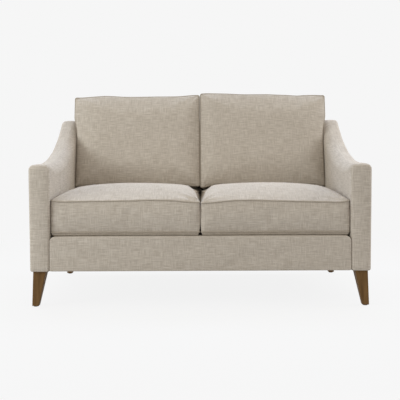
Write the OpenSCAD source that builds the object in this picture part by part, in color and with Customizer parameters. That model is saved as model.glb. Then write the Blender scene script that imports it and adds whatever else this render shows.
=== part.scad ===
// Two seat settee with a high back, scooped arms, loose piped cushions and tapered legs.
// X runs across the settee, Y from the front to the back, Z up. The origin is on the floor,
// under the middle of the settee's outline.

/* [Overall] */
// Width over both arms, at the top of the back
overall_w = 1567; // [1300:1:2000]
// Depth from the front of the arms to the back's top edge
overall_d = 930; // [860:1:1150]
// Height of the upholstered back and of the arms where they meet it
back_h = 871; // [800:1:1050]
// Lean of the back from upright, in degrees
back_rake = 10; // [4:0.5:14]

/* [Arms] */
// Thickness of an arm at its top
arm_w = 99; // [85:1:140]
// Height of an arm at its front
arm_front_h = 644; // [560:1:700]
// How much thinner an arm is at its foot, all on its outer side
arm_taper = 10; // [0:1:20]
// Radius of the rounded front end of the arm's top
arm_nose_r = 30; // [25:1:45]
// Length of the level front stretch of the arm's top
swoop_start = 144; // [100:1:170]
// Radius of the scoop that climbs to the back
swoop_r = 940; // [700:1:1000]
// Radius of the shoulder where the scoop meets the level top
shoulder_r = 51; // [40:1:90]
// Rounding along the arm's top edges
arm_edge_r = 20; // [15:1:30]
// Rise of the arm's top across its thickness
arm_crown = 2; // [0:1:10]

/* [Padding] */
// Foam and cover on the front and top of the frame
pad = 20; // [16:1:24]
// Foam and cover on the inside of an arm
arm_pad_in = 12; // [8:1:18]
// Foam and cover on the outside of an arm, where the arm is thinnest
arm_pad_out = 5; // [3:1:8]
// Foam and cover on the front of the back
back_pad = 33; // [24:1:45]
// Thickness of the board and cover that close the back
back_panel_t = 6; // [4:0.5:9]
// Thickness of the cover where it wraps the rear of an arm
cover_t = 3; // [2:0.5:4]

/* [Base] */
// Height of the underside of the base above the floor
leg_h = 161; // [120:1:200]
// Height of the upholstered base
base_h = 157; // [140:1:190]
// Depth of the padded roll along the front of the seat
border_d = 65; // [56:1:80]
// Radius of the front border's upper corners
border_corner_r = 22; // [12:1:30]
// Rounding of the front border's edges
border_edge_r = 9; // [5:1:12]
// Thickness of the felt and cloth that cover the springs
deck_t = 22; // [16:1:28]
// Thickness of the dust cover under the base
dust_t = 1.5; // [1:0.1:2]

/* [Timber] */
// Thickness of the rails
rail_t = 25; // [20:1:30]
// Thickness of the plywood arm sides
ply_t = 15; // [12:1:18]
// Thickness of the board that wraps the front and top of the arm frame
wrap_t = 12; // [8:1:15]
// Depth of the timbers of the back frame
back_frame_t = 45; // [36:1:54]
// Height of the top rail and the bottom rail of the back
back_rail_h = 60; // [45:1:75]
// Height of the rail that the back's webbing starts from
tack_rail_h = 50; // [40:1:60]
// Height of the side rails and of the centre rail
side_rail_h = 80; // [60:1:96]
// Width of the upright in the middle of the back, and depth of the front posts
post_w = 45; // [36:1:54]
// Side of a triangular corner block
corner_block_w = 70; // [55:1:85]
// Height of a leg block
block_h = 60; // [48:1:72]
// Length of a leg block
block_l = 96; // [90:1:110]
// Width of a window in the plywood
window_w = 130; // [100:1:150]
// Plywood between two windows
window_gap = 60; // [45:1:80]
// Windows in each plywood side
window_n = 3; // [2:1:3]
// Corner radius of a window
window_r = 30; // [20:1:40]

/* [Suspension] */
// Diameter of the spring wire
wire_d = 3.8; // [3:0.1:4.6]
// Straight part of each bar of a zigzag spring
spring_bar = 28; // [22:1:36]
// Bends from bar to bar along a spring
spring_bends = 16; // [12:2:20]
// Springs under each seat
springs_per_seat = 4; // [3:1:5]
// Thickness of the clips that hold the springs
clip_t = 1.5; // [1:0.1:2]
// Width of a spring clip
clip_w = 20; // [16:1:22]
// Width of a webbing strap in the back
strap_w = 50; // [40:1:60]
// Thickness of the webbing
strap_t = 2; // [1.5:0.1:2.5]
// Webbing straps behind each back cushion
straps_per_seat = 4; // [3:1:5]

/* [Legs] */
// Width of a leg at its top
leg_top_w = 58; // [46:1:62]
// Width of a leg at its foot
leg_foot_w = 30; // [26:1:38]
// Chamfer along the corners of a leg
leg_chamfer = 2; // [1:0.5:4]
// Set-back of the legs from the front and back of the base
leg_inset = 12; // [8:1:16]
// Outward lean of the front legs' outer faces, at the foot
leg_splay = 4; // [0:1:8]
// Backward lean of the rear legs, at the foot
rear_leg_splay = 16; // [8:1:24]
// Radius of a foot glide
glide_r = 11; // [9:0.5:13]
// Thickness of a foot glide
glide_t = 4; // [3:0.5:5]
// Radius of the leg bolts
bolt_r = 4; // [3:0.5:5]
// Length of a leg bolt in the leg
bolt_in_leg = 35; // [28:1:45]
// Length of a leg bolt past its nut
bolt_past_nut = 6; // [4:1:8]
// Radius of the nut's barrel
nut_r = 5.6; // [5.6:0.1:7]
// Length of the nut's barrel
nut_l = 10; // [8:1:12]
// Radius of the nut's flange
nut_flange_r = 11; // [9:0.5:13]
// Thickness of the nut's flange
nut_flange_t = 1.5; // [1:0.1:2]

/* [Seat cushions] */
// Set-back of the seat cushions from the front of the arms
seat_setback = 14; // [10:1:40]
// Height of the upper piping of a seat cushion above its underside
seat_border = 158; // [125:1:180]
// Rise of the crown above the upper piping
seat_crown = 62; // [45:1:72]
// Height of the lower piping above the underside
seat_belly = 17; // [8:1:20]
// How far a side is drawn in between its corners
seat_pull = 7; // [4:1:18]

/* [Back cushions] */
// Height of a back cushion, measured up the lean
back_cushion_h = 520; // [430:1:600]
// Distance between the front piping and the rear face of a back cushion
back_cushion_t = 150; // [120:1:175]
// Rise of the front crown above the front piping
back_crown = 42; // [28:1:52]
// Height of the rear piping above the rear face
back_belly = 12; // [8:1:18]
// How far a side is drawn in between its corners
back_pull = 10; // [6:1:20]
// How far the outer side of a back cushion swells out above the arm
back_flare = 20; // [0:1:25]

/* [Piping and zips] */
// Diameter of the piping
piping_d = 7; // [5:0.5:9]
// Corner radius of the cushions, at the piping
cushion_corner_r = 18; // [14:1:36]
// Thickness of the feather wrap between the cover and the core
wrap_pad = 40; // [32:1:50]
// Length of a zip
zip_l = 520; // [420:1:560]
// Length of tape past each end of the zip's teeth
zip_end = 10; // [8:1:14]
// Width of the zip's tape
zip_tape_w = 14; // [12:0.5:18]
// Thickness of the zip's tape
zip_tape_t = 0.8; // [0.6:0.1:1]
// Width of the zip's closed teeth
zip_teeth_w = 5; // [4:0.5:6]
// Depth of the zip's closed teeth
zip_teeth_t = 2; // [1.6:0.1:2.4]
// Length of the zip's slider
slider_l = 10; // [8:0.5:13]
// Wall of the zip's slider
slider_wall = 1.4; // [1.2:0.1:1.8]
// Length of the slider's pull tab
tab_l = 20; // [16:1:24]
// Width of the slider's pull tab
tab_w = 6; // [5:0.5:7]

/* [Hidden] */

overrun = 1; // how far a cut runs past the face that it opens
soft_gap = 0.3; // between a loose cushion and what it lies against
seam_gap = 0.2; // between the piping and the seam that it is sewn into
fit_gap = 0.1; // around a bolt, and over a wire in its clip
tack_gap = 0.05; // between a cover and the board, rail or panel that it is tacked to
slide_gap = 0.3; // around the teeth inside a zip's slider
edge_r = 4; // rounding of the covers' rear and lower edges
fillet_r = 12; // rounding of the arm outline's lower front corner
front_edge_r = 8; // rounding at the arm's front edges
back_nose_r = 25; // rounding at the back's front top edge
tack_rail_gap = 6; // between the seat deck's underside and the tack rail
window_sill = 140; // from the base's underside to a window's sill
window_head = 70; // from the frame's front top edge down to a window's head
flare_rise = 40; // height over which the outer side of a back cushion swells out
slot_share = 0.55; // share of a cushion's draw-in that the bulging border keeps
teeth_inset = 4; // from the border to the floor of the zip's channel
crown_peak_share = -0.1; // where the seat's crown is highest, from -1 at the front to 1 at the back
wire_sides = 6;
bend_steps = 3;
bore_facets = 32;
nose_steps = 5;
swoop_steps = 12;
shoulder_steps = 6;
corner_steps = 4;
edge_steps = 4;
cushion_side_points = 6;
cushion_corner_points = 4;
piping_facets = 6;
small_corner_steps = 2;
lean_steps = 8;
crown_shares = [0.985, 0.93, 0.82, 0.64, 0.4, 0.18];
belly_shares = [0.8, 0.94];
belly_edge_share = 0.2; // share of the belly's height at its outer ring
core_pad_share = 0.25; // share of the wrap's thickness that lies over and under the core
across_power = 4; // how late the crown falls off towards a cushion's sides
across_round = 0.5; // and how steeply its sides start at the piping, 1 for a plain slope
seat_front_power = 2.4; // and towards the front of a seat cushion
seat_rear_power = 1.2; // and towards its rear
back_power = 3; // and towards the top and bottom of a back cushion

front_y = -overall_d / 2;
seam_in = piping_d / 2 + seam_gap;
arm_x = overall_w / 2;
inner_x = arm_x - arm_w;
ply_in_x = inner_x + arm_pad_in;
ply_out_x = arm_x - arm_taper - arm_pad_out;
arm_mid_x = (ply_in_x + ply_out_x) / 2;
deck_z = leg_h + base_h;
deck_low_z = deck_z - deck_t;
spring_z = deck_low_z - fit_gap - clip_t - fit_gap - wire_d / 2;
rail_z = spring_z - wire_d / 2 - clip_t;
rail_low_z = leg_h + dust_t;
frame_top_z = back_h - pad;
back_edge_r = pad; // rounding at the back's rear top edge, down to the level of the timber
panel_top_z = back_h - back_edge_r;
rear_foot_y = overall_d / 2 - (panel_top_z - leg_h) * tan(back_rake);
cover_off = back_panel_t + tack_gap; // the covers that turn over the back end here, before the panel
frame_off = back_panel_t + cover_t;
back_frame_off = frame_off + back_frame_t;
back_pad_off = back_frame_off + strap_t;
back_face_off = back_pad_off + back_pad;
tack_z = deck_low_z + tack_rail_gap;
front_rail_y = front_y + pad;
rear_rail_y = rear_y(leg_h, back_frame_off);
bolt_y = front_y + leg_inset + leg_top_w / 2;
rear_bolt_y = rear_y(leg_h, back_panel_t) - leg_inset / 2 - leg_top_w / 2;

// Y of the raked plane that lies off behind the rear face of the back, at height z
function rear_y(z, off) = rear_foot_y + (z - leg_h) * tan(back_rake) - off / cos(back_rake);

// Points of an arc, each with its outward normal; side is 1 on a convex stretch and -1 in a hollow,
// and first is 1 where the arc before ends on this one's first point
function arc(c, r, a0, a1, steps, side = 1, first = 0) =
  [for (i = [first:steps]) let (a = a0 + (a1 - a0) * i / steps, d = [cos(a), sin(a)])
    [c[0] + r * d[0], c[1] + r * d[1], side * d[0], side * d[1]]];

// Where the scoop's centre and the shoulder's centre lie, and the slope between the two arcs
swoop_c = [front_y + swoop_start, arm_front_h + swoop_r];
shoulder_z = back_h - shoulder_r;
shoulder_y = swoop_c[0] + sqrt(pow(swoop_r + shoulder_r, 2) - pow(swoop_c[1] - shoulder_z, 2));
swoop_a = asin((shoulder_y - swoop_c[0]) / (swoop_r + shoulder_r));

// The front and top of the arm in side view, inset by t
function arm_top_line(t) = concat(
  arc([front_y + arm_nose_r, arm_front_h - arm_nose_r], arm_nose_r - t, 180, 90, nose_steps),
  arc(swoop_c, swoop_r + t, 270, 270 + swoop_a, swoop_steps, -1),
  arc([shoulder_y, shoulder_z], shoulder_r - t, 90 + swoop_a, 90, shoulder_steps, 1, 1));

// The rounding where the top of the arms and of the back turns down to the outside back panel
function rear_top_arc() = arc([rear_y(panel_top_z, cover_off + back_edge_r), panel_top_z], back_edge_r,
  90, -back_rake, corner_steps);

// The points of arcs, without their normals
function places(points) = [for (p = points) [p[0], p[1]]];

// The padded arm in side view
function arm_outline() = concat(
  arc([front_y + fillet_r, leg_h + fillet_r], fillet_r, 270, 180, corner_steps - 1),
  arm_top_line(0),
  rear_top_arc(), [[rear_y(leg_h, cover_off), leg_h, cos(back_rake) / (1 + sin(back_rake)), -1]]);

// The arm's timber frame in side view, from the height low up
function frame_outline(low) = concat(
  [[front_y + pad, low]], places(arm_top_line(pad)),
  [[rear_y(frame_top_z, frame_off), frame_top_z], [rear_y(low, frame_off), low]]);

// Extrudes a Y-Z outline from x0 to x1
module along_x(x0, x1) {
  translate([x0, 0, 0]) rotate([90, 0, 90]) linear_extrude(x1 - x0) children();
}

// Draws the children for the left side, s = -1, or mirrored for the right side, s = 1
module side(s) {
  mirror([s < 0 ? 1 : 0, 0, 0]) children();
}

// Skin over a stack of rings with equal point counts, closed at each end by a flat cap, or by a fan
// of triangles around a point where two are given
module skin(rings, middles = []) {
  n = len(rings[0]);
  last = (len(rings) - 1) * n;
  polyhedron(
    points = concat([for (r = rings) each r], middles),
    faces = concat(
      [for (k = [0:n:last - n]) for (i = [0:n - 1]) let (j = (i + 1) % n)
        each [[k + i, k + n + j, k + j], [k + i, k + n + i, k + n + j]]],
      len(middles) == 0 ? [[for (i = [0:n - 1]) i], [for (i = [n - 1:-1:0]) last + i]]
        : [for (i = [0:n - 1]) let (j = (i + 1) % n)
            each [[i, j, last + n], [last + j, last + i, last + n + 1]]]));
}

// Rounding between the arm's side and its outline at a point; it is less along the rear of the top
function arm_edge(p) = let (top_r = p[0] > shoulder_y ? (back_edge_r + edge_r) / 2 : arm_edge_r)
  edge_r + (top_r - edge_r) * max(0, p[3]) + (front_edge_r - edge_r) * max(0, -p[2]);

// One ring of the padded arm; a is the part of the quarter turn from the top, 0, to the flat side, 90
function arm_side_x(z, outer) = outer ? arm_x - arm_taper * (back_h - z) / (back_h - leg_h) : inner_x;
function arm_ring(a, outer) = [for (p = arm_outline())
  let (r = arm_edge(p), inset = r * (1 - cos(a)), y = p[0] - p[2] * inset, z = p[1] - p[3] * inset,
    x = arm_side_x(z, outer), step = r * (1 - sin(a)))
  [outer ? x - step : x + step, y, z]];
function arm_crown_ring() = [for (p = arm_outline())
  [(arm_x + inner_x) / 2, p[0], p[1] + arm_crown * max(0, p[3])]];

module arm_solid() {
  skin(concat(
    [for (k = [0:edge_steps]) arm_ring(90 - 90 * k / edge_steps, true)],
    [arm_crown_ring()],
    [for (k = [0:edge_steps]) arm_ring(90 * k / edge_steps, false)]),
    [for (outer = [true, false]) let (z = (leg_h + arm_front_h) / 2) [arm_side_x(z, outer), shoulder_y, z]]);
}

// A bar in the plane of the back, with level ends: off_in and off_out are measured from the rear face
module raked_bar(x0, x1, z0, z1, off_out, off_in) {
  along_x(x0, x1) polygon([[rear_y(z0, off_in), z0], [rear_y(z1, off_in), z1],
    [rear_y(z1, off_out), z1], [rear_y(z0, off_out), z0]]);
}

module arm_cover() {
  color("#b8ac9e") difference() {
    arm_solid();
    // the space that the frame fills, open underneath
    along_x(ply_in_x, ply_out_x) polygon(frame_outline(leg_h - overrun));
    // the rails pass through the inner wall, below the seat deck and behind the padding of the back
    along_x(inner_x - overrun, ply_in_x + overrun) polygon([[front_rail_y, leg_h - overrun],
      [front_rail_y, deck_low_z], [rear_y(deck_low_z, back_pad_off), deck_low_z],
      [rear_y(frame_top_z, back_pad_off), frame_top_z],
      [rear_y(frame_top_z, frame_off), frame_top_z], [rear_y(leg_h - overrun, frame_off), leg_h - overrun]]);
  }
}

module arm_ply() {
  windows_l = window_n * window_w + (window_n - 1) * window_gap;
  middle_y = (front_rail_y + block_l + rear_y(leg_h + window_sill, back_frame_off)) / 2;
  head_z = arm_front_h - pad - window_head;
  sill_z = leg_h + window_sill;
  difference() {
    polygon(frame_outline(leg_h));
    for (i = [0:window_n - 1])
      translate([middle_y - windows_l / 2 + i * (window_w + window_gap), sill_z])
        rounded_rectangle(window_w, head_z - sill_z, window_r);
  }
}

module rounded_rectangle(w, h, r) {
  polygon(places(concat(
    arc([w - r, h - r], r, 0, 90, corner_steps), arc([r, h - r], r, 90, 180, corner_steps),
    arc([r, r], r, 180, 270, corner_steps), arc([w - r, r], r, 270, 360, corner_steps))));
}

module arm_outer_ply() {
  color("#c9a877") along_x(ply_out_x - ply_t, ply_out_x) arm_ply();
}

module arm_inner_ply() {
  color("#c9a877") along_x(ply_in_x, ply_in_x + ply_t) arm_ply();
}

// Between the two plies
module between_plies() {
  along_x(ply_in_x + ply_t, ply_out_x - ply_t) children();
}

// It starts over the front leg block and its nut, and is cut off at the back post
module arm_wrap_board() {
  inner = arm_top_line(pad + wrap_t);
  low_z = leg_h + block_h + nut_flange_t + fit_gap;
  color("#a98d63") between_plies() difference() {
    polygon(concat(
      [[front_y + pad, low_z]], places(arm_top_line(pad)),
      [[rear_y(frame_top_z, frame_off), frame_top_z],
        [rear_y(frame_top_z - wrap_t, frame_off), frame_top_z - wrap_t]],
      [for (i = [len(inner) - 1:-1:nose_steps + 1]) [inner[i][0], inner[i][1]]],
      [[front_y + pad + wrap_t, arm_front_h - pad - wrap_t], [front_y + pad + wrap_t, low_z]]));
    polygon([[rear_y(leg_h, back_frame_off), leg_h], [rear_y(back_h, back_frame_off), back_h],
      [rear_y(back_h, 0), back_h], [rear_y(leg_h, 0), leg_h]]);
  }
}

module arm_front_post() {
  color("#bf9a66") between_plies()
    translate([front_rail_y + block_l - post_w, leg_h + block_h])
      square([post_w, arm_front_h - pad - wrap_t - leg_h - block_h]);
}

module back_post() {
  low_z = leg_h + block_h + nut_flange_t + bolt_past_nut + fit_gap;
  color("#bf9a66")
    raked_bar(ply_in_x + ply_t, ply_out_x - ply_t, low_z, frame_top_z, frame_off, back_frame_off);
}

// Each leg block, with the hole that its nut and bolt sit in
module leg_blocks() {
  color("#bf9a66") for (s = [-1, 1]) side(s) difference() {
    union() {
      between_plies() translate([front_rail_y, leg_h]) square([block_l, block_h]);
      raked_bar(ply_in_x + ply_t, ply_out_x - ply_t, leg_h, leg_h + block_h, frame_off,
        frame_off + block_l * cos(back_rake));
    }
    for (y = [bolt_y, rear_bolt_y]) translate([arm_mid_x, y, leg_h - overrun])
      cylinder(h = block_h + 2 * overrun, r = nut_r + fit_gap, $fn = bore_facets);
  }
}

// The padded back between the arms, which wraps over the top rail and is tacked down behind it
module inside_back_cover() {
  flap_z = frame_top_z - back_rail_h / 2;
  rail_over_z = frame_top_z + tack_gap;
  profile = concat(
    [[rear_y(deck_low_z, back_face_off), deck_low_z]],
    places(arc([rear_y(back_h - back_nose_r, back_face_off - back_nose_r), back_h - back_nose_r],
      back_nose_r, 180 - back_rake, 90, nose_steps)),
    places(rear_top_arc()),
    [[rear_y(flap_z, cover_off), flap_z], [rear_y(flap_z, frame_off - tack_gap), flap_z],
      [rear_y(rail_over_z, frame_off - tack_gap), rail_over_z],
      [rear_y(rail_over_z, back_pad_off + tack_gap), rail_over_z],
      [rear_y(deck_low_z, back_pad_off + tack_gap), deck_low_z]]);
  color("#b8ac9e") along_x(-inner_x, inner_x) polygon(profile);
}

// The flat panel that closes the back, as wide as the arms behind it
module outside_back_panel() {
  panel_l = (panel_top_z - leg_h) / cos(back_rake);
  low_x = arm_x - arm_taper;
  top_x = arm_x - arm_taper * (back_h - panel_top_z) / (back_h - leg_h);
  outline = concat([[low_x, 0]],
    places(arc([top_x - arm_edge_r, panel_l - arm_edge_r], arm_edge_r, 0, 90, nose_steps)));
  color("#b3a799") translate([0, rear_foot_y, leg_h]) rotate([90 - back_rake, 0, 0])
    linear_extrude(back_panel_t)
      polygon(concat(outline, [for (i = [len(outline) - 1:-1:0]) [-outline[i][0], outline[i][1]]]));
}

// The upholstered front of the base: a wall before the rail and a roll over the ends of the springs
module front_border() {
  top_z = deck_z - soft_gap;
  outline = concat(
    arc([inner_x - border_corner_r, top_z - border_corner_r], border_corner_r, 0, 90, nose_steps),
    arc([-inner_x + border_corner_r, top_z - border_corner_r], border_corner_r, 90, 180, nose_steps),
    arc([-inner_x + edge_r, leg_h + edge_r], edge_r, 180, 270, small_corner_steps),
    arc([inner_x - edge_r, leg_h + edge_r], edge_r, 270, 360, small_corner_steps));
  function ring(a) = [for (p = outline) [p[0] - p[2] * border_edge_r * (1 - sin(a)),
    front_y + border_edge_r * (1 - cos(a)), p[1] - p[3] * border_edge_r * (1 - sin(a))]];
  color("#b3a799") difference() {
    skin(concat([for (k = [0:edge_steps]) ring(90 * k / edge_steps)],
      [[for (p = outline) [p[0], front_y + border_d, p[1]]]]));
    translate([-arm_x, front_rail_y, leg_h - overrun])
      cube([overall_w, border_d, deck_low_z - leg_h + overrun]);
  }
}

module seat_deck_pad() {
  color("#8e857a") along_x(-inner_x, inner_x)
    polygon([[front_y + border_d, deck_low_z], [front_y + border_d, deck_z],
      [rear_y(deck_z, back_face_off), deck_z], [rear_y(deck_low_z, back_face_off), deck_low_z]]);
}

module dust_cover() {
  color("#2b2a29") along_x(-ply_in_x, ply_in_x)
    polygon([[front_rail_y, leg_h], [front_rail_y, rail_low_z], [rear_y(rail_low_z, frame_off), rail_low_z],
      [rear_y(leg_h, frame_off), leg_h]]);
}

module front_seat_rail() {
  color("#bf9a66") translate([-ply_in_x, front_rail_y, rail_low_z])
    cube([2 * ply_in_x, rail_t, rail_z - rail_low_z]);
}

module rear_seat_rail() {
  color("#bf9a66") translate([-ply_in_x, rear_rail_y - rail_t, rail_low_z])
    cube([2 * ply_in_x, rail_t, rail_z - rail_low_z]);
}

module side_rail() {
  color("#bf9a66") translate([ply_in_x - rail_t, front_rail_y + rail_t, rail_low_z])
    cube([rail_t, rear_rail_y - 2 * rail_t - front_rail_y, side_rail_h]);
}

module centre_rail() {
  color("#bf9a66") translate([-rail_t / 2, front_rail_y + rail_t, rail_low_z])
    cube([rail_t, rear_rail_y - 2 * rail_t - front_rail_y, side_rail_h]);
}

module corner_blocks() {
  corner_x = ply_in_x - rail_t;
  color("#bf9a66") for (s = [-1, 1]) side(s) translate([0, 0, rail_low_z]) linear_extrude(side_rail_h) {
    translate([corner_x, front_rail_y + rail_t])
      polygon([[0, 0], [0, corner_block_w], [-corner_block_w, 0]]);
    translate([corner_x, rear_rail_y - rail_t])
      polygon([[0, 0], [-corner_block_w, 0], [0, -corner_block_w]]);
  }
}

module back_top_rail() {
  color("#bf9a66") raked_bar(-ply_in_x, ply_in_x, frame_top_z - back_rail_h, frame_top_z, frame_off,
    back_frame_off);
}

module back_tack_rail() {
  color("#bf9a66") raked_bar(-ply_in_x, ply_in_x, tack_z, tack_z + tack_rail_h, frame_off, back_frame_off);
}

module back_bottom_rail() {
  color("#bf9a66") raked_bar(-ply_in_x, ply_in_x, rail_low_z, rail_low_z + back_rail_h, frame_off,
    back_frame_off);
}

module back_centre_post() {
  color("#bf9a66") raked_bar(-post_w / 2, post_w / 2, tack_z + tack_rail_h, frame_top_z - back_rail_h,
    frame_off, back_frame_off);
}

// Middles of the n equal shares of one seat's width
function seat_shares(n) = [for (i = [0:n - 1]) inner_x * (i + 0.5) / n];

spring_y0 = front_rail_y + rail_t / 2;
spring_y1 = rear_rail_y - rail_t / 2;
spring_pitch = (spring_y1 - spring_y0) / spring_bends;

// A zigzag spring, from the front rail to the rear rail: bars across, joined by half turns.
// Each point of its path has the direction that lies square to the wire there.
spring_path = concat([[-spring_bar / 2, spring_y0, 0, -1]],
  [for (i = [0:spring_bends - 1]) let (s = i % 2 == 0 ? 1 : -1)
    each arc([s * spring_bar / 2, spring_y0 + (i + 0.5) * spring_pitch], spring_pitch / 2, -90,
      s > 0 ? 90 : -270, bend_steps, s)],
  [[(spring_bends % 2 == 0 ? 1 : -1) * spring_bar / 2, spring_y1, 0, spring_bends % 2 == 0 ? -1 : 1]]);
module zigzag_spring() {
  translate([0, 0, spring_z]) skin([for (p = spring_path) [for (k = [0:wire_sides - 1])
    let (g = 360 * k / wire_sides)
    [p[0] + wire_d / 2 * cos(g) * p[2], p[1] + wire_d / 2 * cos(g) * p[3], -wire_d / 2 * sin(g)]]]);
}

module seat_springs() {
  color("#8a8d90") for (x = seat_shares(springs_per_seat)) translate([x, 0, 0]) zigzag_spring();
}

// A folded clip around the end bar of a spring; facing is 1 where the spring leaves towards the back
module spring_clip(facing) {
  half = rail_t / 2;
  low = rail_z - spring_z;
  high = wire_d / 2 + fit_gap;
  tip = wire_d / 2 + clip_t;
  along_x(-clip_w / 2, clip_w / 2) polygon([for (p = [[tip, low], [tip, low + clip_t], [-tip, low + clip_t],
    [-tip, high], [tip, high], [tip, high + clip_t], [-tip - clip_t, high + clip_t], [-tip - clip_t, low]])
    [facing * min(p[0], half), p[1]]]);
}

module spring_clips() {
  color("#6f7275") for (s = [-1, 1]) side(s) for (x = seat_shares(springs_per_seat)) {
    translate([x, spring_y0, spring_z]) spring_clip(1);
    translate([x, spring_y1, spring_z]) spring_clip(-1);
  }
}

module back_webbing() {
  color("#4a443c") for (s = [-1, 1]) side(s) for (x = seat_shares(straps_per_seat))
    raked_bar(x - strap_w / 2, x + strap_w / 2, tack_z, frame_top_z, back_frame_off, back_pad_off);
}

// A square ring with chamfered corners, around x, y
function leg_ring(x, y, z, w) = let (h = w / 2, c = leg_chamfer)
  [for (p = [[h - c, -h], [h, -h + c], [h, h - c], [h - c, h], [-h + c, h], [-h, h - c], [-h, -h + c],
    [-h + c, -h]]) [x + p[0], y + p[1], z]];

// A tapered leg with the blind hole for its bolt; x, y is its top's middle and dx, dy its foot's shift
module leg(x, y, dx, dy) {
  color("#6b5638") difference() {
    skin([leg_ring(x + dx, y + dy, glide_t, leg_foot_w), leg_ring(x, y, leg_h, leg_top_w)]);
    translate([x, y, leg_h - bolt_in_leg])
      cylinder(h = bolt_in_leg + overrun, r = bolt_r + fit_gap, $fn = bore_facets);
  }
}

foot_shift = (leg_top_w - leg_foot_w) / 2;
front_foot = [foot_shift + leg_splay, -foot_shift - leg_splay];
rear_foot = [foot_shift, foot_shift + rear_leg_splay];

module front_leg() {
  leg(arm_mid_x, bolt_y, front_foot[0], front_foot[1]);
}

module rear_leg() {
  leg(arm_mid_x, rear_bolt_y, rear_foot[0], rear_foot[1]);
}

module at_bolts() {
  for (s = [-1, 1]) side(s) for (y = [bolt_y, rear_bolt_y]) translate([arm_mid_x, y, leg_h]) children();
}

module leg_bolts() {
  color("#9a9ca0") at_bolts() translate([0, 0, -bolt_in_leg])
    cylinder(h = bolt_in_leg + block_h + nut_flange_t + bolt_past_nut, r = bolt_r, $fn = bore_facets);
}

module leg_nuts() {
  color("#b0a060") at_bolts() difference() {
    union() {
      translate([0, 0, block_h - nut_l]) cylinder(h = nut_l, r = nut_r, $fn = bore_facets);
      translate([0, 0, block_h]) cylinder(h = nut_flange_t, r = nut_flange_r, $fn = bore_facets);
    }
    translate([0, 0, block_h - nut_l - overrun])
      cylinder(h = nut_l + nut_flange_t + 2 * overrun, r = bolt_r + fit_gap, $fn = bore_facets);
  }
}

module foot_glides() {
  color("#3a3632") for (s = [-1, 1]) side(s) {
    translate([arm_mid_x + front_foot[0], bolt_y + front_foot[1], 0])
      cylinder(h = glide_t, r = glide_r, $fn = bore_facets);
    translate([arm_mid_x + rear_foot[0], rear_bolt_y + rear_foot[1], 0])
      cylinder(h = glide_t, r = glide_r, $fn = bore_facets);
  }
}

// A cushion lies with its underside at z = 0 and its outline centred on the origin.
// w and d are measured at the piping's centre line, and keep says how much of the draw-in a ring has.
function drawn_in(p, w, d, pull, keep) = let (u = 2 * p[0] / w, v = 2 * p[1] / d)
  [p[0] - u * pull * keep * (1 - v * v), p[1] - v * pull * keep * (1 - u * u)];

// The rounded rectangle that a cushion's rings follow: four corners, each with the side after it
function plan_corner(c, r, turn) = places(arc(c, r, turn - 90, turn, cushion_corner_points));
function plan_side(p, q) = [for (i = [1:cushion_side_points - 1]) p + (q - p) * i / cushion_side_points];
function cushion_plan(w, d, r) = let (a = w / 2 - r, b = d / 2 - r) concat(
  plan_corner([a, -b], r, 0), plan_side([w / 2, -b], [w / 2, b]),
  plan_corner([a, b], r, 90), plan_side([a, d / 2], [-a, d / 2]),
  plan_corner([-a, b], r, 180), plan_side([-w / 2, b], [-w / 2, -b]),
  plan_corner([-a, -b], r, 270), plan_side([-a, -d / 2], [a, -d / 2]));

// Share of the crown's height at u across and v along the cushion, both from -1 to 1
function across_share(u) = pow(1 - pow(min(1, abs(u)), across_power), across_round);
function seat_share(v) = let (p = crown_peak_share)
  v < p ? 1 - pow(min(1, (p - v) / (1 + p)), seat_front_power)
    : 1 - pow(min(1, (v - p) / (1 - p)), seat_rear_power);
function back_share(v) = 1 - pow(min(1, abs(v)), back_power);

// Above the arm the outer side of a back cushion, at -x here, swells over the arm's top
function eased(t) = let (c = max(0, min(1, t))) c * c * (3 - 2 * c);
function back_z(p) = leg_h + (back_up + back_cushion_h / 2 - p[1]) * cos(back_rake)
  + (back_face_off + soft_gap + p[2]) * sin(back_rake);
function swelled(ring, seat) = seat ? ring : [for (p = ring)
  [p[0] + min(0, 2 * p[0] / back_w) * back_flare * eased((back_z(p) - back_h) / flare_rise),
    p[1], p[2]]];

function flat_ring(plan, w, d, pull, keep, share, z) =
  [for (p = plan) let (q = drawn_in(share * p, w, d, pull, keep)) [q[0], q[1], z]];
function crown_ring(plan, w, d, pull, share, z, crown, seat) =
  [for (p = plan)
    let (q = drawn_in(share * p, w, d, pull, 1), u = share * 2 * p[0] / w, v = share * 2 * p[1] / d)
    [q[0], q[1], z + crown * across_share(u) * (seat ? seat_share(v) : back_share(v))]];

// The stuffed cushion: a flat underside, a bulging border between the two rows of piping, and a crown
module cushion(piped_w, piped_d, border, belly, crown, pull, seat) {
  w = piped_w - 2 * seam_in;
  d = piped_d - 2 * seam_in;
  plan = cushion_plan(w, d, cushion_corner_r - seam_in);
  side_h = (border - belly) / 3;
  rings = concat(
    [flat_ring(plan, w, d, pull, 1, belly_shares[0], 0),
      flat_ring(plan, w, d, pull, 1, belly_shares[1], belly * belly_edge_share)],
    [flat_ring(plan, w, d, pull, 1, 1, belly), flat_ring(plan, w, d, pull, slot_share, 1, belly + side_h),
      flat_ring(plan, w, d, pull, slot_share, 1, border - side_h), flat_ring(plan, w, d, pull, 1, 1, border)],
    [for (s = crown_shares) crown_ring(plan, w, d, pull, s, border, crown, seat)]);
  skin([for (ring = rings) swelled(ring, seat)]);
}

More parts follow.
